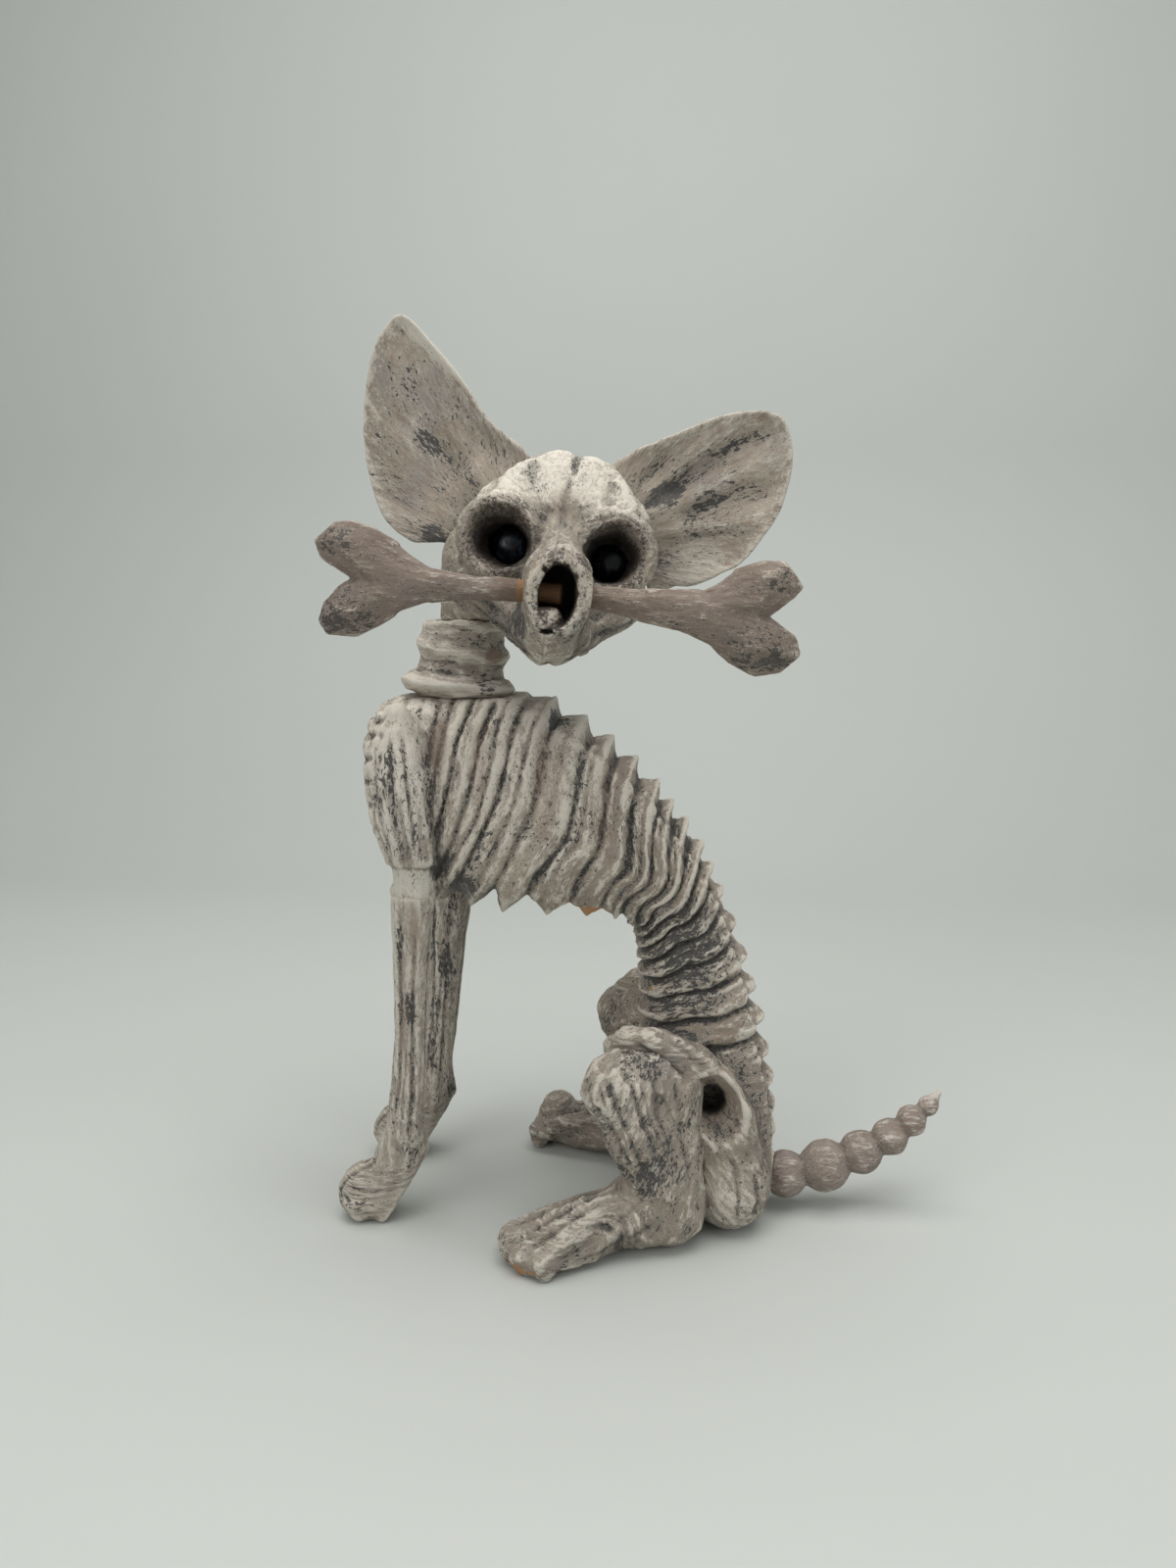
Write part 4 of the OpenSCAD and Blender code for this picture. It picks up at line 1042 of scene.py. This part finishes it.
def make_skull():
    F = Field((-68, -84, -58), (48, 46, 44), 0.75, HEAD_R, HEAD_AT)
    # brain case, flattish on the crown
    F.add(tube_y([(38, 0, 3, 12, 11), (33, 0, 2, 22, 20), (24, 0, 1, 31, 29.5), (10, 0, 0, 37.5, 36), (-8, 0, 0, 39.0, 37.5), (-20, 0, -1, 38.0, 35.5), (-30, 0, -4, 34.5, 31), (-37, 0, -9, 27, 25)], 2.35), 2)
    F.add(ball((-2, -6, -14), (37, 28, 26)), 6)
    # cheekbones and the jaw below
    for s in (-1, 1):
        F.add(cone((s * 25, -20, -22), (s * 8 + 2, -40, -36), 12, 10), 7)
    F.add(cone((0, -30, -38), (2.0, -54, -36.5), 11.0, 9.5), 5)
    # broad planes either side of the crown, and the two of the forehead
    X, Y, Z = F.all()
    for nx, ny, nz, px, py, pz in ((-0.66, 0.0, 0.75, -24.5, 0, 26.2), (0.74, 0.0, 0.67, 27.0, 0, 24.6), (-0.16, -0.74, 0.65, -8, -24, 29.5), (0.20, -0.74, 0.64, 9, -24, 29.3)):
        n = np.array([nx, ny, nz]) / math.sqrt(nx * nx + ny * ny + nz * nz)
        F.F = smax(F.F, ((X - px) * n[0] + (Y - py) * n[1] + (Z - pz) * n[2]).astype(f32), 1.6)
    # rims of the sockets
    for s, c in ((-1, (-24.6, -34.5, -1.3)), (1, (23.0, -34.5, -1.7))):
        F.add(ring(c, (s * 0.26, -0.96, 0.06), 14.3, 4.0, 1.35), 3.0)
    # bridge of the nose, then the muzzle, cut off flat in front
    F.add(cone((-0.5, -30, 5), (2.4, -62, -8.5), 6.8, 7.2), 4)
    F.add(tube_y([(-24, 0.5, -18, 15, 19), (-50, 1.8, -20, 14.0, 18.5), (-64, 2.7, -20, 13.2, 17.8), (-74, 3.3, -19.6, 12.7, 17.2), (-79.3, 3.6, -19.4, 12.2, 16.6)], 2.25), 3.0)
    F.add(cone((3.4, -73, -7.5), (3.2, -66, -6.5), 5.6, 6.0, (1.1, 1, 1)), 2.5)
    F.add(cone((2.5, -66, -35.5), (2.0, -44, -40), 8.5, 9.5), 4)
    # wooden nape down to the neck
    W = to_head([[-45, 3, 299], [-52.5, 0.5, 266]])
    F.add(cone(W[0], W[1], 20, 13.5), 8)
    # bowls and the drilled eye holes
    for s, c, hx, hz in ((-1, (-24.8, -1.4), -18.6, -4.4), (1, (23.2, -1.8), 18.4, -6.2)):
        F.sub(ball((c[0], -46, c[1]), (12.9, 18.5, 12.4)), 1.6)
        F.sub(ball((c[0] * 0.90, -36, c[1] - 2.2), (10.6, 15, 9.8)), 2.5)
        F.sub(cone((hx + s * 0.5, -42, hz), (hx + s * 3.5, -11, hz + 0.5), 8.2, 7.9), 0.8)
    # mouth of the muzzle, its rim nicked all round, and the teeth below
    F.sub(cone((3.5, -84, -21.2), (2.2, -52, -20.6), 7.5, 6.8, (1, 1, 1.62)), 0.8)
    for x, z, r in ((-3.4, -11.4, 1.3), (1.0, -9.0, 1.3), (5.6, -9.4, 1.3), (9.6, -12.8, 1.3), (11.3, -19.0, 1.0), (-4.9, -19.5, 0.9)):
        F.sub(cone((x, -84, z), (x * 0.8 + 0.6, -72, z * 0.9 - 1.9), r, r * 0.7), 0.5)
    # worn lump low in the mouth, left of a slot
    F.add(ball((1.0, -68.0, -30.0), (5.2, 8.5, 4.6)), 1.5)
    F.add(ball((-1.2, -72.5, -28.4), (2.6, 3.5, 3.0)), 1.0)
    F.add(ball((2.6, -72.0, -28.0), (2.2, 3.5, 2.8)), 1.0)
    F.sub(cone((1.0, -84, -34.2), (1.0, -74, -34.2), 1.5, 1.2, (2.2, 1, 0.8)), 0.6)
    # chisel planes on the nose
    for n, q in (((0.10, -0.80, 0.60), (3.4, -77.8, -5.5)), ((-0.75, -0.45, 0.45), (-5.0, -76, -7.5)), ((0.78, -0.45, 0.40), (12.2, -76, -8.5)), ((-0.80, -0.55, -0.15), (-8.0, -78.2, -24)), ((0.72, -0.55, -0.35), (13.0, -77.5, -29)), ((0.0, -0.72, -0.70), (3.0, -77.0, -35.5))):
        n = np.array(n) / np.linalg.norm(n)
        X, Y, Z = F.all()
        pl = (X - q[0]) * n[0] + (Y - q[1]) * n[1] + (Z - q[2]) * n[2]
        F.F = np.where(Y < -60, smax(F.F, pl.astype(f32), 0.6), F.F)
    strokes = [([(2, -31, 31), (2.5, -24, 37), (3, -14, 39), (3, -4, 39)], 2.0, 1.9)]
    for pts, wd, dp in (([(17, -38, 18), (19, -27, 28), (16, -8, 36)], 3.2, 0.7), ([(-14, -38, 19), (-16, -27, 29), (-14, -8, 37)], 3.4, 0.8), ([(-29, -34, 14), (-30, -22, 23), (-27, -4, 30)], 3.2, 0.7), ([(31, -34, 13), (31, -22, 22), (28, -4, 29)], 3.2, 0.7),
        ([(0, -46, 6), (0, -38, 18), (1, -30, 28)], 2.2, 1.0), ([(-38, -28, 4), (-39, -14, 12), (-37, 4, 18)], 1.6, 1.1), ([(37, -28, 4), (38, -14, 12), (37, 4, 18)], 1.6, 1.1),
        ([(-6, -52, -47), (-20, -26, -46), (-32, -4, -40)], 2.0, 2.0), ([(-10, -48, -45), (-28, -24, -40), (-40, -6, -30)], 2.0, 2.0), ([(-14, -46, -40), (-34, -22, -32), (-44, -6, -20)], 1.9, 1.8), ([(-16, -44, -33), (-38, -22, -22), (-45, -8, -10)], 1.8, 1.6),
        ([(9, -52, -46), (20, -28, -45), (28, -8, -40)], 1.9, 1.8), ([(13, -48, -42), (28, -26, -38), (38, -8, -28)], 1.9, 1.8), ([(16, -45, -36), (34, -24, -28), (42, -8, -16)], 1.8, 1.6), ([(2, -58, -46), (2, -34, -49), (0, -8, -46)], 1.8, 1.7), ([(18, -44, -28), (36, -26, -18), (42, -10, -6)], 1.5, 1.2),
        ([(-36, -42, 10), (-24, -44, 16), (-12, -42, 10)], 1.1, 0.8), ([(12, -42, 9), (24, -44, 15), (36, -42, 8)], 1.1, 0.8)):
        strokes.append((pts, wd, dp))
    # cheek hollows behind the muzzle
    for s in (-1, 1):
        F.sub(ball((s * 18.5 + 1.5, -54, -22), (5.0, 13, 8.5)), 4.0)
    # holes of the bone's pegs
    P = to_head([BONE_AT - 40 * BONE_R[:, 0], BONE_AT + 40 * BONE_R[:, 0]])
    F.sub(cone(P[0], P[1], 4.1, 4.1), 0.3)
    # seat of the neck below
    X, Y, Z = F.all()
    zz = HEAD_R[2, 0] * X + HEAD_R[2, 1] * Y + HEAD_R[2, 2] * Z + HEAD_AT[2]
    xx = HEAD_R[0, 0] * X + HEAD_R[0, 1] * Y + HEAD_R[0, 2] * Z + HEAD_AT[0]
    yy = HEAD_R[1, 0] * X + HEAD_R[1, 1] * Y + HEAD_R[1, 2] * Z + HEAD_AT[1]
    below = np.maximum(zz - 274, np.sqrt((xx + 56) ** 2 + yy ** 2) - 26.5)
    F.F = smax(F.F, -below.astype(f32), 0.6)

    def flow(V):
        # grain runs back over the crown and fans under the jaw
        r = np.sqrt(V[:, 0] ** 2 + (V[:, 2] - 2) ** 2)
        a = np.arctan2(V[:, 0], V[:, 2] - 2)
        muz = sstep(-42, -52, V[:, 1])
        return np.stack([-V[:, 1] * 1.1 + 0.3 * r, a * 34 * (1 - muz) + a * 16 * muz, r], 1)

    def masks(W, V, Nn):
        # painted shade: near black on the floor of the eye sockets and inside the muzzle's opening
        painted_recess_shade = np.zeros(len(V))
        for cx, cz in ((-23.4, -2.6), (21.8, -3.6)):
            q = np.hypot(V[:, 0] - cx, V[:, 2] - cz)
            painted_recess_shade = np.maximum(painted_recess_shade, sstep(14.0, 10.0, q) * sstep(-42, -27, V[:, 1]) * (V[:, 1] < -6))
        q = np.hypot(V[:, 0] - 3.0, (V[:, 2] + 20) / 1.6)
        painted_recess_shade = np.maximum(painted_recess_shade, 0.7 * sstep(9.0, 7.0, q) * sstep(-74, -60, V[:, 1]) * (V[:, 1] < -45))
        # painted shade inside the muzzle's opening, fed into the dark and brown masks
        mouth = blob(V, [((3, -66, -19), (7.5, 15.5, 10.5), 1.0)])
        # painted shade inside the eye sockets, fed into the dark and brown masks and holding the pale back
        sock = blob(V, [((-23, -31, -3), (13.5, 8, 12.5), 1.0), ((22.5, -31, -4), (13.5, 8, 12.5), 1.0)])
        rimz = blob(V, [((-24, -40, -2), (19, 9, 18), 1.05), ((23, -40, -3), (19, 9, 18), 1.05), ((3, -72, -18), (16, 16, 21), 0.85)])
        return {
            "dark": np.maximum.reduce([rimz, 0.9 * sock, 1.1 * mouth, blob(V, [((3, -79, -10), (9, 5, 4.5), 0.9), ((-7, -78, -20), (3.5, 6, 9), 0.6), ((3.2, -79, -34), (5, 6, 3), 0.9), ((-14, -50, -36), (9, 12, 10), 0.5), ((13, -58, -28), (6, 14, 10), 0.7), ((0, -44, 4), (5, 8, 5), 0.4)])]),
            "pale": np.maximum.reduce([0.85 * sstep(8, 22, V[:, 2]) * sstep(-44, -36, V[:, 1]) + 0.04, blob(V, [((1.2, -72, -29), (5, 7, 3.4), 1.3), ((2, -50, -46), (12, 18, 6), 0.5), ((3, -70, -4), (8, 12, 5), 0.35)]) * (1 - 0.7 * sock)]),
            "painted_recess_shade": painted_recess_shade,
            "brown": np.maximum.reduce([0.55 * sock, 0.4 * rimz, 0.7 * mouth, blob(V, [((0, -36, 16), (7, 8, 9), 0.4)])]),
        }

    ob = piece("skull_carving", F, flow, HEADM, 1, grooves=strokes, cut=[((16, 10), 0.4, 0.5)], rough=[(0.26, (0.07, 0.42, 0.42), 1), (0.14, (0.25, 1.1, 1.1), 2)], masks=masks,
        keep_fn=lambda V: 1 - sstep(-60, -70, V[:, 1]) * (np.hypot(V[:, 0] - 3.5, V[:, 2] + 19) < 13))
    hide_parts("skull")
    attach(ob, "figure")


def sd_poly(px, pz, P):
    """Signed distance to a closed outline, negative inside."""
    P = np.asarray(P, float)
    d = np.full(px.shape, 1e9)
    inside = np.zeros(px.shape, bool)
    for a, b in zip(P, np.roll(P, -1, 0)):
        e = b - a
        w0, w1 = px - a[0], pz - a[1]
        t = np.clip((w0 * e[0] + w1 * e[1]) / max(e @ e, 1e-9), 0, 1)
        d = np.minimum(d, (w0 - t * e[0]) ** 2 + (w1 - t * e[1]) ** 2)
        c = (a[1] > pz) != (b[1] > pz)
        with np.errstate(divide="ignore", invalid="ignore"):
            xi = a[0] + (pz - a[1]) * e[0] / (e[1] if abs(e[1]) > 1e-9 else 1e-9)
        inside ^= c & (px < xi)
    return np.where(inside, -1, 1) * np.sqrt(d)


def round_outline(P, n=10):
    """Catmull-Rom curve through a closed outline's corners."""
    P = np.asarray(P, float)
    out = []
    m = len(P)
    for i in range(m):
        a, b, c, d = P[i - 1], P[i], P[(i + 1) % m], P[(i + 2) % m]
        for k in range(n):
            f = k / n
            out.append(0.5 * (2 * b + (c - a) * f + (2 * a - 5 * b + 4 * c - d) * f * f + (3 * b - a - 3 * c + d) * f ** 3))
    return np.array(out)


EAR_R_P = [(-6, -20), (-7, 19), (5, 30), (12, 36), (16, 38.5), (24, 40), (32, 39), (42, 34), (55, 24), (66, 12), (76, -3), (81, -14), (82.5, -26), (81, -31), (76, -33), (64, -32), (43, -29), (24, -24)]
EAR_L_P = [(-7, -24), (-7, 24), (5, 32), (18, 33.5), (42, 35), (54, 34), (64, 31), (70, 26), (71.5, 18), (70, 9), (65, -2), (58, -12), (47, -21), (38, -27), (30, -29), (16, -30), (6, -28)]


def make_ear(name, at, R, outline, ribs, masks):
    F = Field((-9, -12, -44), (87, 14, 46), 0.7, R, at)
    X, Y, Z = F.all()
    x2, z2 = np.meshgrid(F.ax[0].astype(float), F.ax[2].astype(float), indexing="ij")
    sd = sd_poly(x2, z2, round_outline(outline))
    e = np.maximum(-sd, 0)
    tip = np.array([78.0, -26.0]) if name == "ear_right" else np.array([70.0, 18.0])
    foot = np.array([-6.0, 4.0])
    ax = (tip - foot) / np.linalg.norm(tip - foot)
    u = (x2 - foot[0]) * ax[0] + (z2 - foot[1]) * ax[1]
    w = -(x2 - foot[0]) * ax[1] + (z2 - foot[1]) * ax[0]
    # scooped front with a raised rim; ribs run from the foot to the tip
    scoop = 5.8 * (1 - np.exp(-np.maximum(e - 1.2, 0) / 9.0)) * sstep(4, 26, u)
    fan = w / (8 + 0.55 * np.clip(u, 0, 60) + 1e-6)
    wave = np.zeros_like(u)
    for c, a, sg in ribs:
        wave += a * np.exp(-(((fan - c) / sg) ** 2))
    wave *= sstep(4, 20, u) * sstep(86, 58, u) * sstep(1.5, 8, e)
    yf = -4.2 + scoop + wave
    th = 2.2 + 3.4 * (1 - np.exp(-e / 7)) + 4.0 * sstep(30, 0, u)
    yb = np.minimum(yf + th + 0.15 * e, 7.5 + 0 * e)
    lean = 0.0
    d = np.maximum(sd[:, None, :], np.maximum((yf[:, None, :] - Y), (Y - yb[:, None, :])))
    d = smax(smax(np.broadcast_to(sd[:, None, :], d.shape), yf[:, None, :] - Y + 0 * X, 1.8), Y - yb[:, None, :] + 0 * X, 3.0)
    F.F = d.astype(f32)
    # root lump against the skull
    F.add(cone((-6, 0.5, 0), (11, 0.5, 0), 8.5, 6.6, (1, 0.8, 1.7)), 6)
    F.cut(lambda X, Y, Z: -X - 5.5 + 0 * Y + 0 * Z, 0.4)

    def flow(V):
        uu = (V[:, 0] - foot[0]) * ax[0] + (V[:, 2] - foot[1]) * ax[1]
        ww = -(V[:, 0] - foot[0]) * ax[1] + (V[:, 2] - foot[1]) * ax[0]
        return np.stack([uu, 30 * ww / (14 + 0.5 * np.clip(uu, 0, 70)), V[:, 1]], 1)

    ob = piece(name + "_carving", F, flow, EARM, 1, rough=[(0.32, (0.045, 0.30, 0.30), 1), (0.16, (0.15, 1.0, 1.0), 2)], masks=masks)
    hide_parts(name)
    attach(ob, "figure")


BONE_L_P = [(12, 3.8), (20, 4.0), (35, 5.3), (48, 6.2), (52, 6.4), (57.6, 9.6), (64, 15.4), (73, 19.2), (81, 19.5), (87, 14.4), (90, 10.8), (86, 5.2), (79.5, -1.2), (83.5, -4.4), (88.9, -7.3), (91.3, -14.7),
    (84.5, -21.9), (75, -24), (64.7, -20), (56.6, -13.6), (49, -10.8), (38.5, -9.0), (30, -8.2), (20, -5.4), (12, -4.2)]
BONE_R_P = [(12, 4.0), (26, 4.1), (42, 5.4), (48.5, 6.5), (55.6, 10.6), (61.7, 15), (69.2, 19), (76.5, 20.6), (85.5, 20), (92.6, 12.4), (90.5, 5.8), (84.9, 2.4), (78.8, -0.9), (83.3, -5), (88.4, -11), (90, -17.7),
    (86, -23.4), (74, -23), (65.2, -18.1), (57.4, -12.2), (48.7, -8.4), (41, -6.6), (30.5, -5.4), (20, -4.4), (12, -4.0)]


def make_bone(name, body, outline, mirror, peg_end):
    M = BONE_R.copy()
    if mirror:
        M = BONE_R @ np.diag([-1.0, 1.0, 1.0])
    c = BONE_AT + M @ np.array([2.2, 0, 0])
    F = Field((peg_end - 2, -9, -27), (94, 9, 24), 0.65, M, c)
    X, Y, Z = F.all()
    x2, z2 = np.meshgrid(F.ax[0].astype(float), F.ax[2].astype(float), indexing="ij")
    sd = sd_poly(x2, z2, outline)
    e = np.maximum(-sd, 0)
    lobe = sstep(34, 60, x2)
    k = np.clip(e / (5.2 + 2.0 * lobe), 0, 1)
    full = 4.4 + 1.9 * lobe
    half = full * (1 - (1 - k) ** 2.0) ** 0.5 * (1 - lobe) + smin(full, 1.5 + 0.60 * e, 0.8) * lobe
    # valley between the two lobes, and a flat bevel down the upper lobe
    half -= 1.9 * np.exp(-np.abs((z2 + 1.2) / 2.4) ** 1.3) * sstep(56, 76, x2)
    half -= 0.8 * np.exp(-((z2 - 12 + 0.25 * (x2 - 70)) / 2.2) ** 2) * sstep(60, 70, x2)
    d = smax(np.broadcast_to(sd[:, None, :], F.F.shape), (np.abs(Y) - half[:, None, :]) * 0.8 + 0 * X, 0.9)
    F.F = d.astype(f32)
    F.add(cone((13, 0, 0), (20, 0, 0), 4.3, 4.4), 1.5)
    Fp = cone((peg_end + 0.8, 0, 0), (18, 0, 0), 3.95, 3.95)
    F.F = np.minimum(F.F, np.maximum(np.sqrt(Y ** 2 + Z ** 2) - 3.95 + 0 * X, np.maximum(peg_end - X, X - 20) + 0 * Y + 0 * Z).astype(f32))

    def flow(V):
        bend = sstep(48, 78, V[:, 0])
        return np.stack([V[:, 0], V[:, 2] * (1 - 0.25 * bend), V[:, 1]], 1)

    def masks(W, V, Nn):
        peg = sstep(13.2, 12.4, V[:, 0]) if mirror else sstep(12.0, 11.2, V[:, 0])
        out = {"chip": 1.6 * peg, "dark": blob(V, [((84, -6, 12), (9, 10, 7), 0.6), ((84, -6, -16), (8, 10, 6), 0.5)]) - peg}
        if mirror:
            out["brown"] = sstep(28, 14, V[:, 0]) * 1.2
        else:
            out["dark"] = out["dark"] + 0.0
            out["brown"] = 0.5 * sstep(40, 16, V[:, 0])
        out["dark"] = out["dark"] + 0.5 * sstep(-1, -9, V[:, 2]) * sstep(60, 70, V[:, 0])
        return out

    ob = piece(name + "_carving", F, flow, BONEM, 1, cut=[((15, 6.5), 0.5, 0.5)], rough=[(0.12, (0.07, 0.5, 0.5), 1), (0.07, (0.3, 1.3, 1.3), 2)], masks=masks,
        keep_fn=lambda V: sstep(14, 22, V[:, 0]))
    if mirror:
        ob.data.flip_normals()
    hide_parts(name)
    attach(ob, body)


def make_eye(name, s):
    c = np.array([-17.6 - 2.6, -15.5, -4.2]) if s < 0 else np.array([19.6 + 2.8, -15.5, -5.6])
    F = Field(c - 10, c + 10, 0.5, HEAD_R, HEAD_AT)
    F.add(ball(c, (8.2, 6.0, 8.2)), 0.1)

    def flow(V):
        return V

    ob = piece(name + "_bead", F, flow, EYE, 3, rough=[(0.25, (0.3, 0.3, 0.3), 1)])
    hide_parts(name)
    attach(ob, "figure")


BEADS = [(93.3, 1, 16, 11.2), (111.5, 3, 20, 12.4), (128.3, 5, 26.5, 10.4), (141.5, 7, 33.5, 9.1), (151.5, 9, 41, 7.6), (159.4, 11, 48, 5.2)]


def make_tail():
    F = Field((62, -16, 0), (172, 26, 62), 0.65)
    r = np.random.default_rng(5)
    X, Y, Z = F.all()
    for i, (x, y, z, R) in enumerate(BEADS):
        nx = BEADS[min(i + 1, 5)]
        pv = BEADS[max(i - 1, 0)]
        ax = np.array(nx[:3]) - np.array(pv[:3])
        ax /= np.linalg.norm(ax)
        u = np.cross(ax, [0, 0, 1.0])
        u /= np.linalg.norm(u)
        w = np.cross(u, ax)
        dirs = []
        for lat, cnt in ((0.12, 7), (0.62, 5), (-0.55, 6)):
            ph = r.random() * 6.28
            for k in range(cnt):
                a = ph + 6.283 * (k + 0.25 * (r.random() - 0.5)) / cnt
                q = math.cos(lat + 0.15 * (r.random() - 0.5))
                dirs.append(math.sin(lat) * ax + q * (math.cos(a) * u + math.sin(a) * w))
        dirs += [ax, -ax]
        b = F.block((x - R * 1.3, y - R * 1.3, z - R * 1.3), (x + R * 1.3, y + R * 1.3, z + R * 1.3), 2)
        s, bx, by, bz = b
        d = np.full(F.F[s].shape, -99.0, f32)
        for n in dirs:
            pl = (bx - x) * n[0] + (by - y) * n[1] + (bz - z) * n[2] - R * (0.90 + 0.05 * r.random())
            d = smax(d, pl.astype(f32), 0.7)
        d = smax(d, (np.sqrt((bx - x) ** 2 + (by - y) ** 2 + (bz - z) ** 2) - R).astype(f32), 1.0)
        F.F[s] = smin(F.F[s], d, 0.9)
    F.add(cone((159.4, 11, 48), (164.3, 12, 54.5), 4.0, 1.4), 1.2)
    chain(F, [(90, 1, 15.3, 6), (111.5, 3, 20, 6), (128.3, 5, 26.5, 5), (141.5, 7, 33.5, 4.4), (159.4, 11, 48, 3)], 1.0)
    ax = TAIL_R[:, 2]
    dd = (X - TAIL_AT[0]) * ax[0] + (Y - TAIL_AT[1]) * ax[1] + (Z - TAIL_AT[2]) * ax[2]
    rr = np.sqrt(np.maximum((X - TAIL_AT[0]) ** 2 + (Y - TAIL_AT[1]) ** 2 + (Z - TAIL_AT[2]) ** 2 - dd ** 2, 0))
    F.F = smax(F.F, (0.15 - dd).astype(f32), 0.4)
    F.F = np.minimum(F.F, np.maximum(rr - 4.5, np.maximum(-19.8 - dd, dd - 3)).astype(f32))

    def flow(V):
        return np.stack([V[:, 0] * 0.85 + V[:, 2] * 0.4, V[:, 2], V[:, 1]], 1)

    ob = piece("tail_carving", F, flow, TAILM, 1, rough=[(0.16, (0.12, 0.4, 0.4), 1), (0.09, (0.5, 1.1, 1.1), 2)],
        masks=lambda W, V, Nn: {"chip": 1.6 * sstep(85.0, 84.0, V[:, 0])}, keep_fn=lambda V: sstep(85, 88, V[:, 0]))
    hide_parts("tail")
    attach(ob, "tail")


make_torso()
make_hind(-1, "hind_leg_left")
make_hind(1, "hind_leg_right")
make_front(-1, "front_leg_left")
make_front(1, "front_leg_right")
make_neck()
make_skull()
make_ear("ear_right", EAR_R_AT, EAR_R_R, EAR_R_P, [(-0.35, 1.0, 0.25), (0.35, 0.9, 0.25)],
    lambda W, V, Nn: {"dark": blob(V, [((38, -2, 2), (10, 9, 5), 0.8), ((8, 0, 30), (8, 10, 6), 0.8)]), "pale": 0.9 * (blob(V, [((60, -4, -32), (46, 9, 6), 1.0)]))})
make_ear("ear_left", EAR_L_AT, EAR_L_R, EAR_L_P, [(-0.72, -1.7, 0.15), (-0.12, -1.9, 0.14), (0.42, -1.8, 0.15), (-0.42, 1.5, 0.13), (0.15, 1.5, 0.12), (0.75, 1.2, 0.15)],
    lambda W, V, Nn: {"dark": blob(V, [((14, -2, 10), (9, 10, 7), 0.8), ((30, -2, 3), (9, 10, 5), 0.6), ((44, -2, 22), (14, 10, 4), 0.5)]), "pale": blob(V, [((16, -2, -20), (16, 10, 9), 0.5)])})
make_bone("bone_left_half", "bone_left", BONE_L_P, False, 7.5)
make_bone("bone_right_half", "bone_right", BONE_R_P, True, -4.0)
make_eye("eye_right", -1)
make_eye("eye_left", 1)
make_tail()

# hidden dowels keep their CAD shape
for nm in ("neck_dowel", "head_dowel", "ear_dowels", "front_leg_dowels", "hind_leg_dowels"):
    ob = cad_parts.get(nm)
    if ob is not None:
        ob.data.materials.clear()
        ob.data.materials.append(BARE_CAD)

# ---------------------------------------------------------------- stage
def floor_mat():
    m, nt = nodes_of("sweep")
    g = N(nt)
    v = g.new("ShaderNodeTexCoord").outputs["Object"]
    n1 = g.noise(v, 2.0, 3, 0.5)
    col = g.mix(n1, srgb("babdb9"), srgb("c2c5c1"))
    bs = g.new("ShaderNodeBsdfPrincipled")
    g.link(col, bs.inputs["Base Color"])
    bs.inputs["Roughness"].default_value = 0.62
    out = g.new("ShaderNodeOutputMaterial")
    g.link(bs.outputs[0], out.inputs[0])
    return m


def sweep():
    """A pale paper sweep: floor in front, curving up behind."""
    prof = [(-1.6, 0.0)]
    n = 24
    R, yb = 0.45, 0.55
    prof.append((yb, 0.0))
    for i in range(1, n + 1):
        a = math.pi / 2 * i / n
        prof.append((yb + R * math.sin(a), R * (1 - math.cos(a))))
    prof.append((yb + R, 2.6))
    verts, faces = [], []
    for y, z in prof:
        verts += [(-2.6, y, z - 0.0004), (2.6, y, z - 0.0004)]
    for i in range(len(prof) - 1):
        faces.append((2 * i, 2 * i + 1, 2 * i + 3, 2 * i + 2))
    me = bpy.data.meshes.new("sweep")
    me.from_pydata(verts, [], faces)
    me.polygons.foreach_set("use_smooth", np.ones(len(me.polygons), bool))
    ob = bpy.data.objects.new("sweep", me)
    bpy.context.scene.collection.objects.link(ob)
    me.materials.append(floor_mat())


sweep()


def area(name, loc, target, size, power, color=(1, 1, 1)):
    L = bpy.data.lights.new(name, "AREA")
    L.shape = "RECTANGLE"
    L.size, L.size_y = size
    L.energy = power
    L.color = color
    ob = bpy.data.objects.new(name, L)
    ob.location = loc
    ob.rotation_euler = (Vector(target) - Vector(loc)).to_track_quat("-Z", "Y").to_euler()
    bpy.context.scene.collection.objects.link(ob)
    return ob


area("top_soft", (0.0, -0.15, 1.35), (0, 0, 0.1), (1.3, 1.1), 17, (1.0, 0.99, 0.97))
area("front_left", (-0.9, -1.2, 0.9), (0, 0, 0.2), (0.9, 0.9), 7, (1.0, 0.99, 0.98))
area("right_fill", (1.2, -0.6, 0.7), (0, 0, 0.2), (0.8, 0.9), 4, (0.97, 0.99, 1.0))

world = bpy.data.worlds.new("soft_room")
bpy.context.scene.world = world
world.use_nodes = True
bg = world.node_tree.nodes["Background"]
bg.inputs[0].default_value = (*srgb("c8cdcc"), 1)
bg.inputs[1].default_value = 0.42
bpy.context.scene.view_settings.view_transform = "Standard"

# camera: 1200 by 1600, focal length 1200 px, about half a metre in front and slightly to the tail side
YAW, PITCH, DIST, HEIGHT = math.radians(5.0), math.radians(10.0), 0.521, 0.293
cam = bpy.data.cameras.new("camera")
cam.sensor_fit = "AUTO"
cam.sensor_width = 36.0
cam.lens = 36.0 * 1200 / 1600
cam.dof.use_dof = False
cam.clip_start = 0.01
co = bpy.data.objects.new("camera", cam)
h = Vector((-math.sin(YAW), math.cos(YAW), 0))
co.location = Vector(SHIFT * 0.001) - h * DIST + Vector((0, 0, HEIGHT))
fwd = Vector((h.x * math.cos(PITCH), h.y * math.cos(PITCH), -math.sin(PITCH)))
co.rotation_euler = fwd.to_track_quat("-Z", "Y").to_euler()
bpy.context.scene.collection.objects.link(co)
bpy.context.scene.camera = co
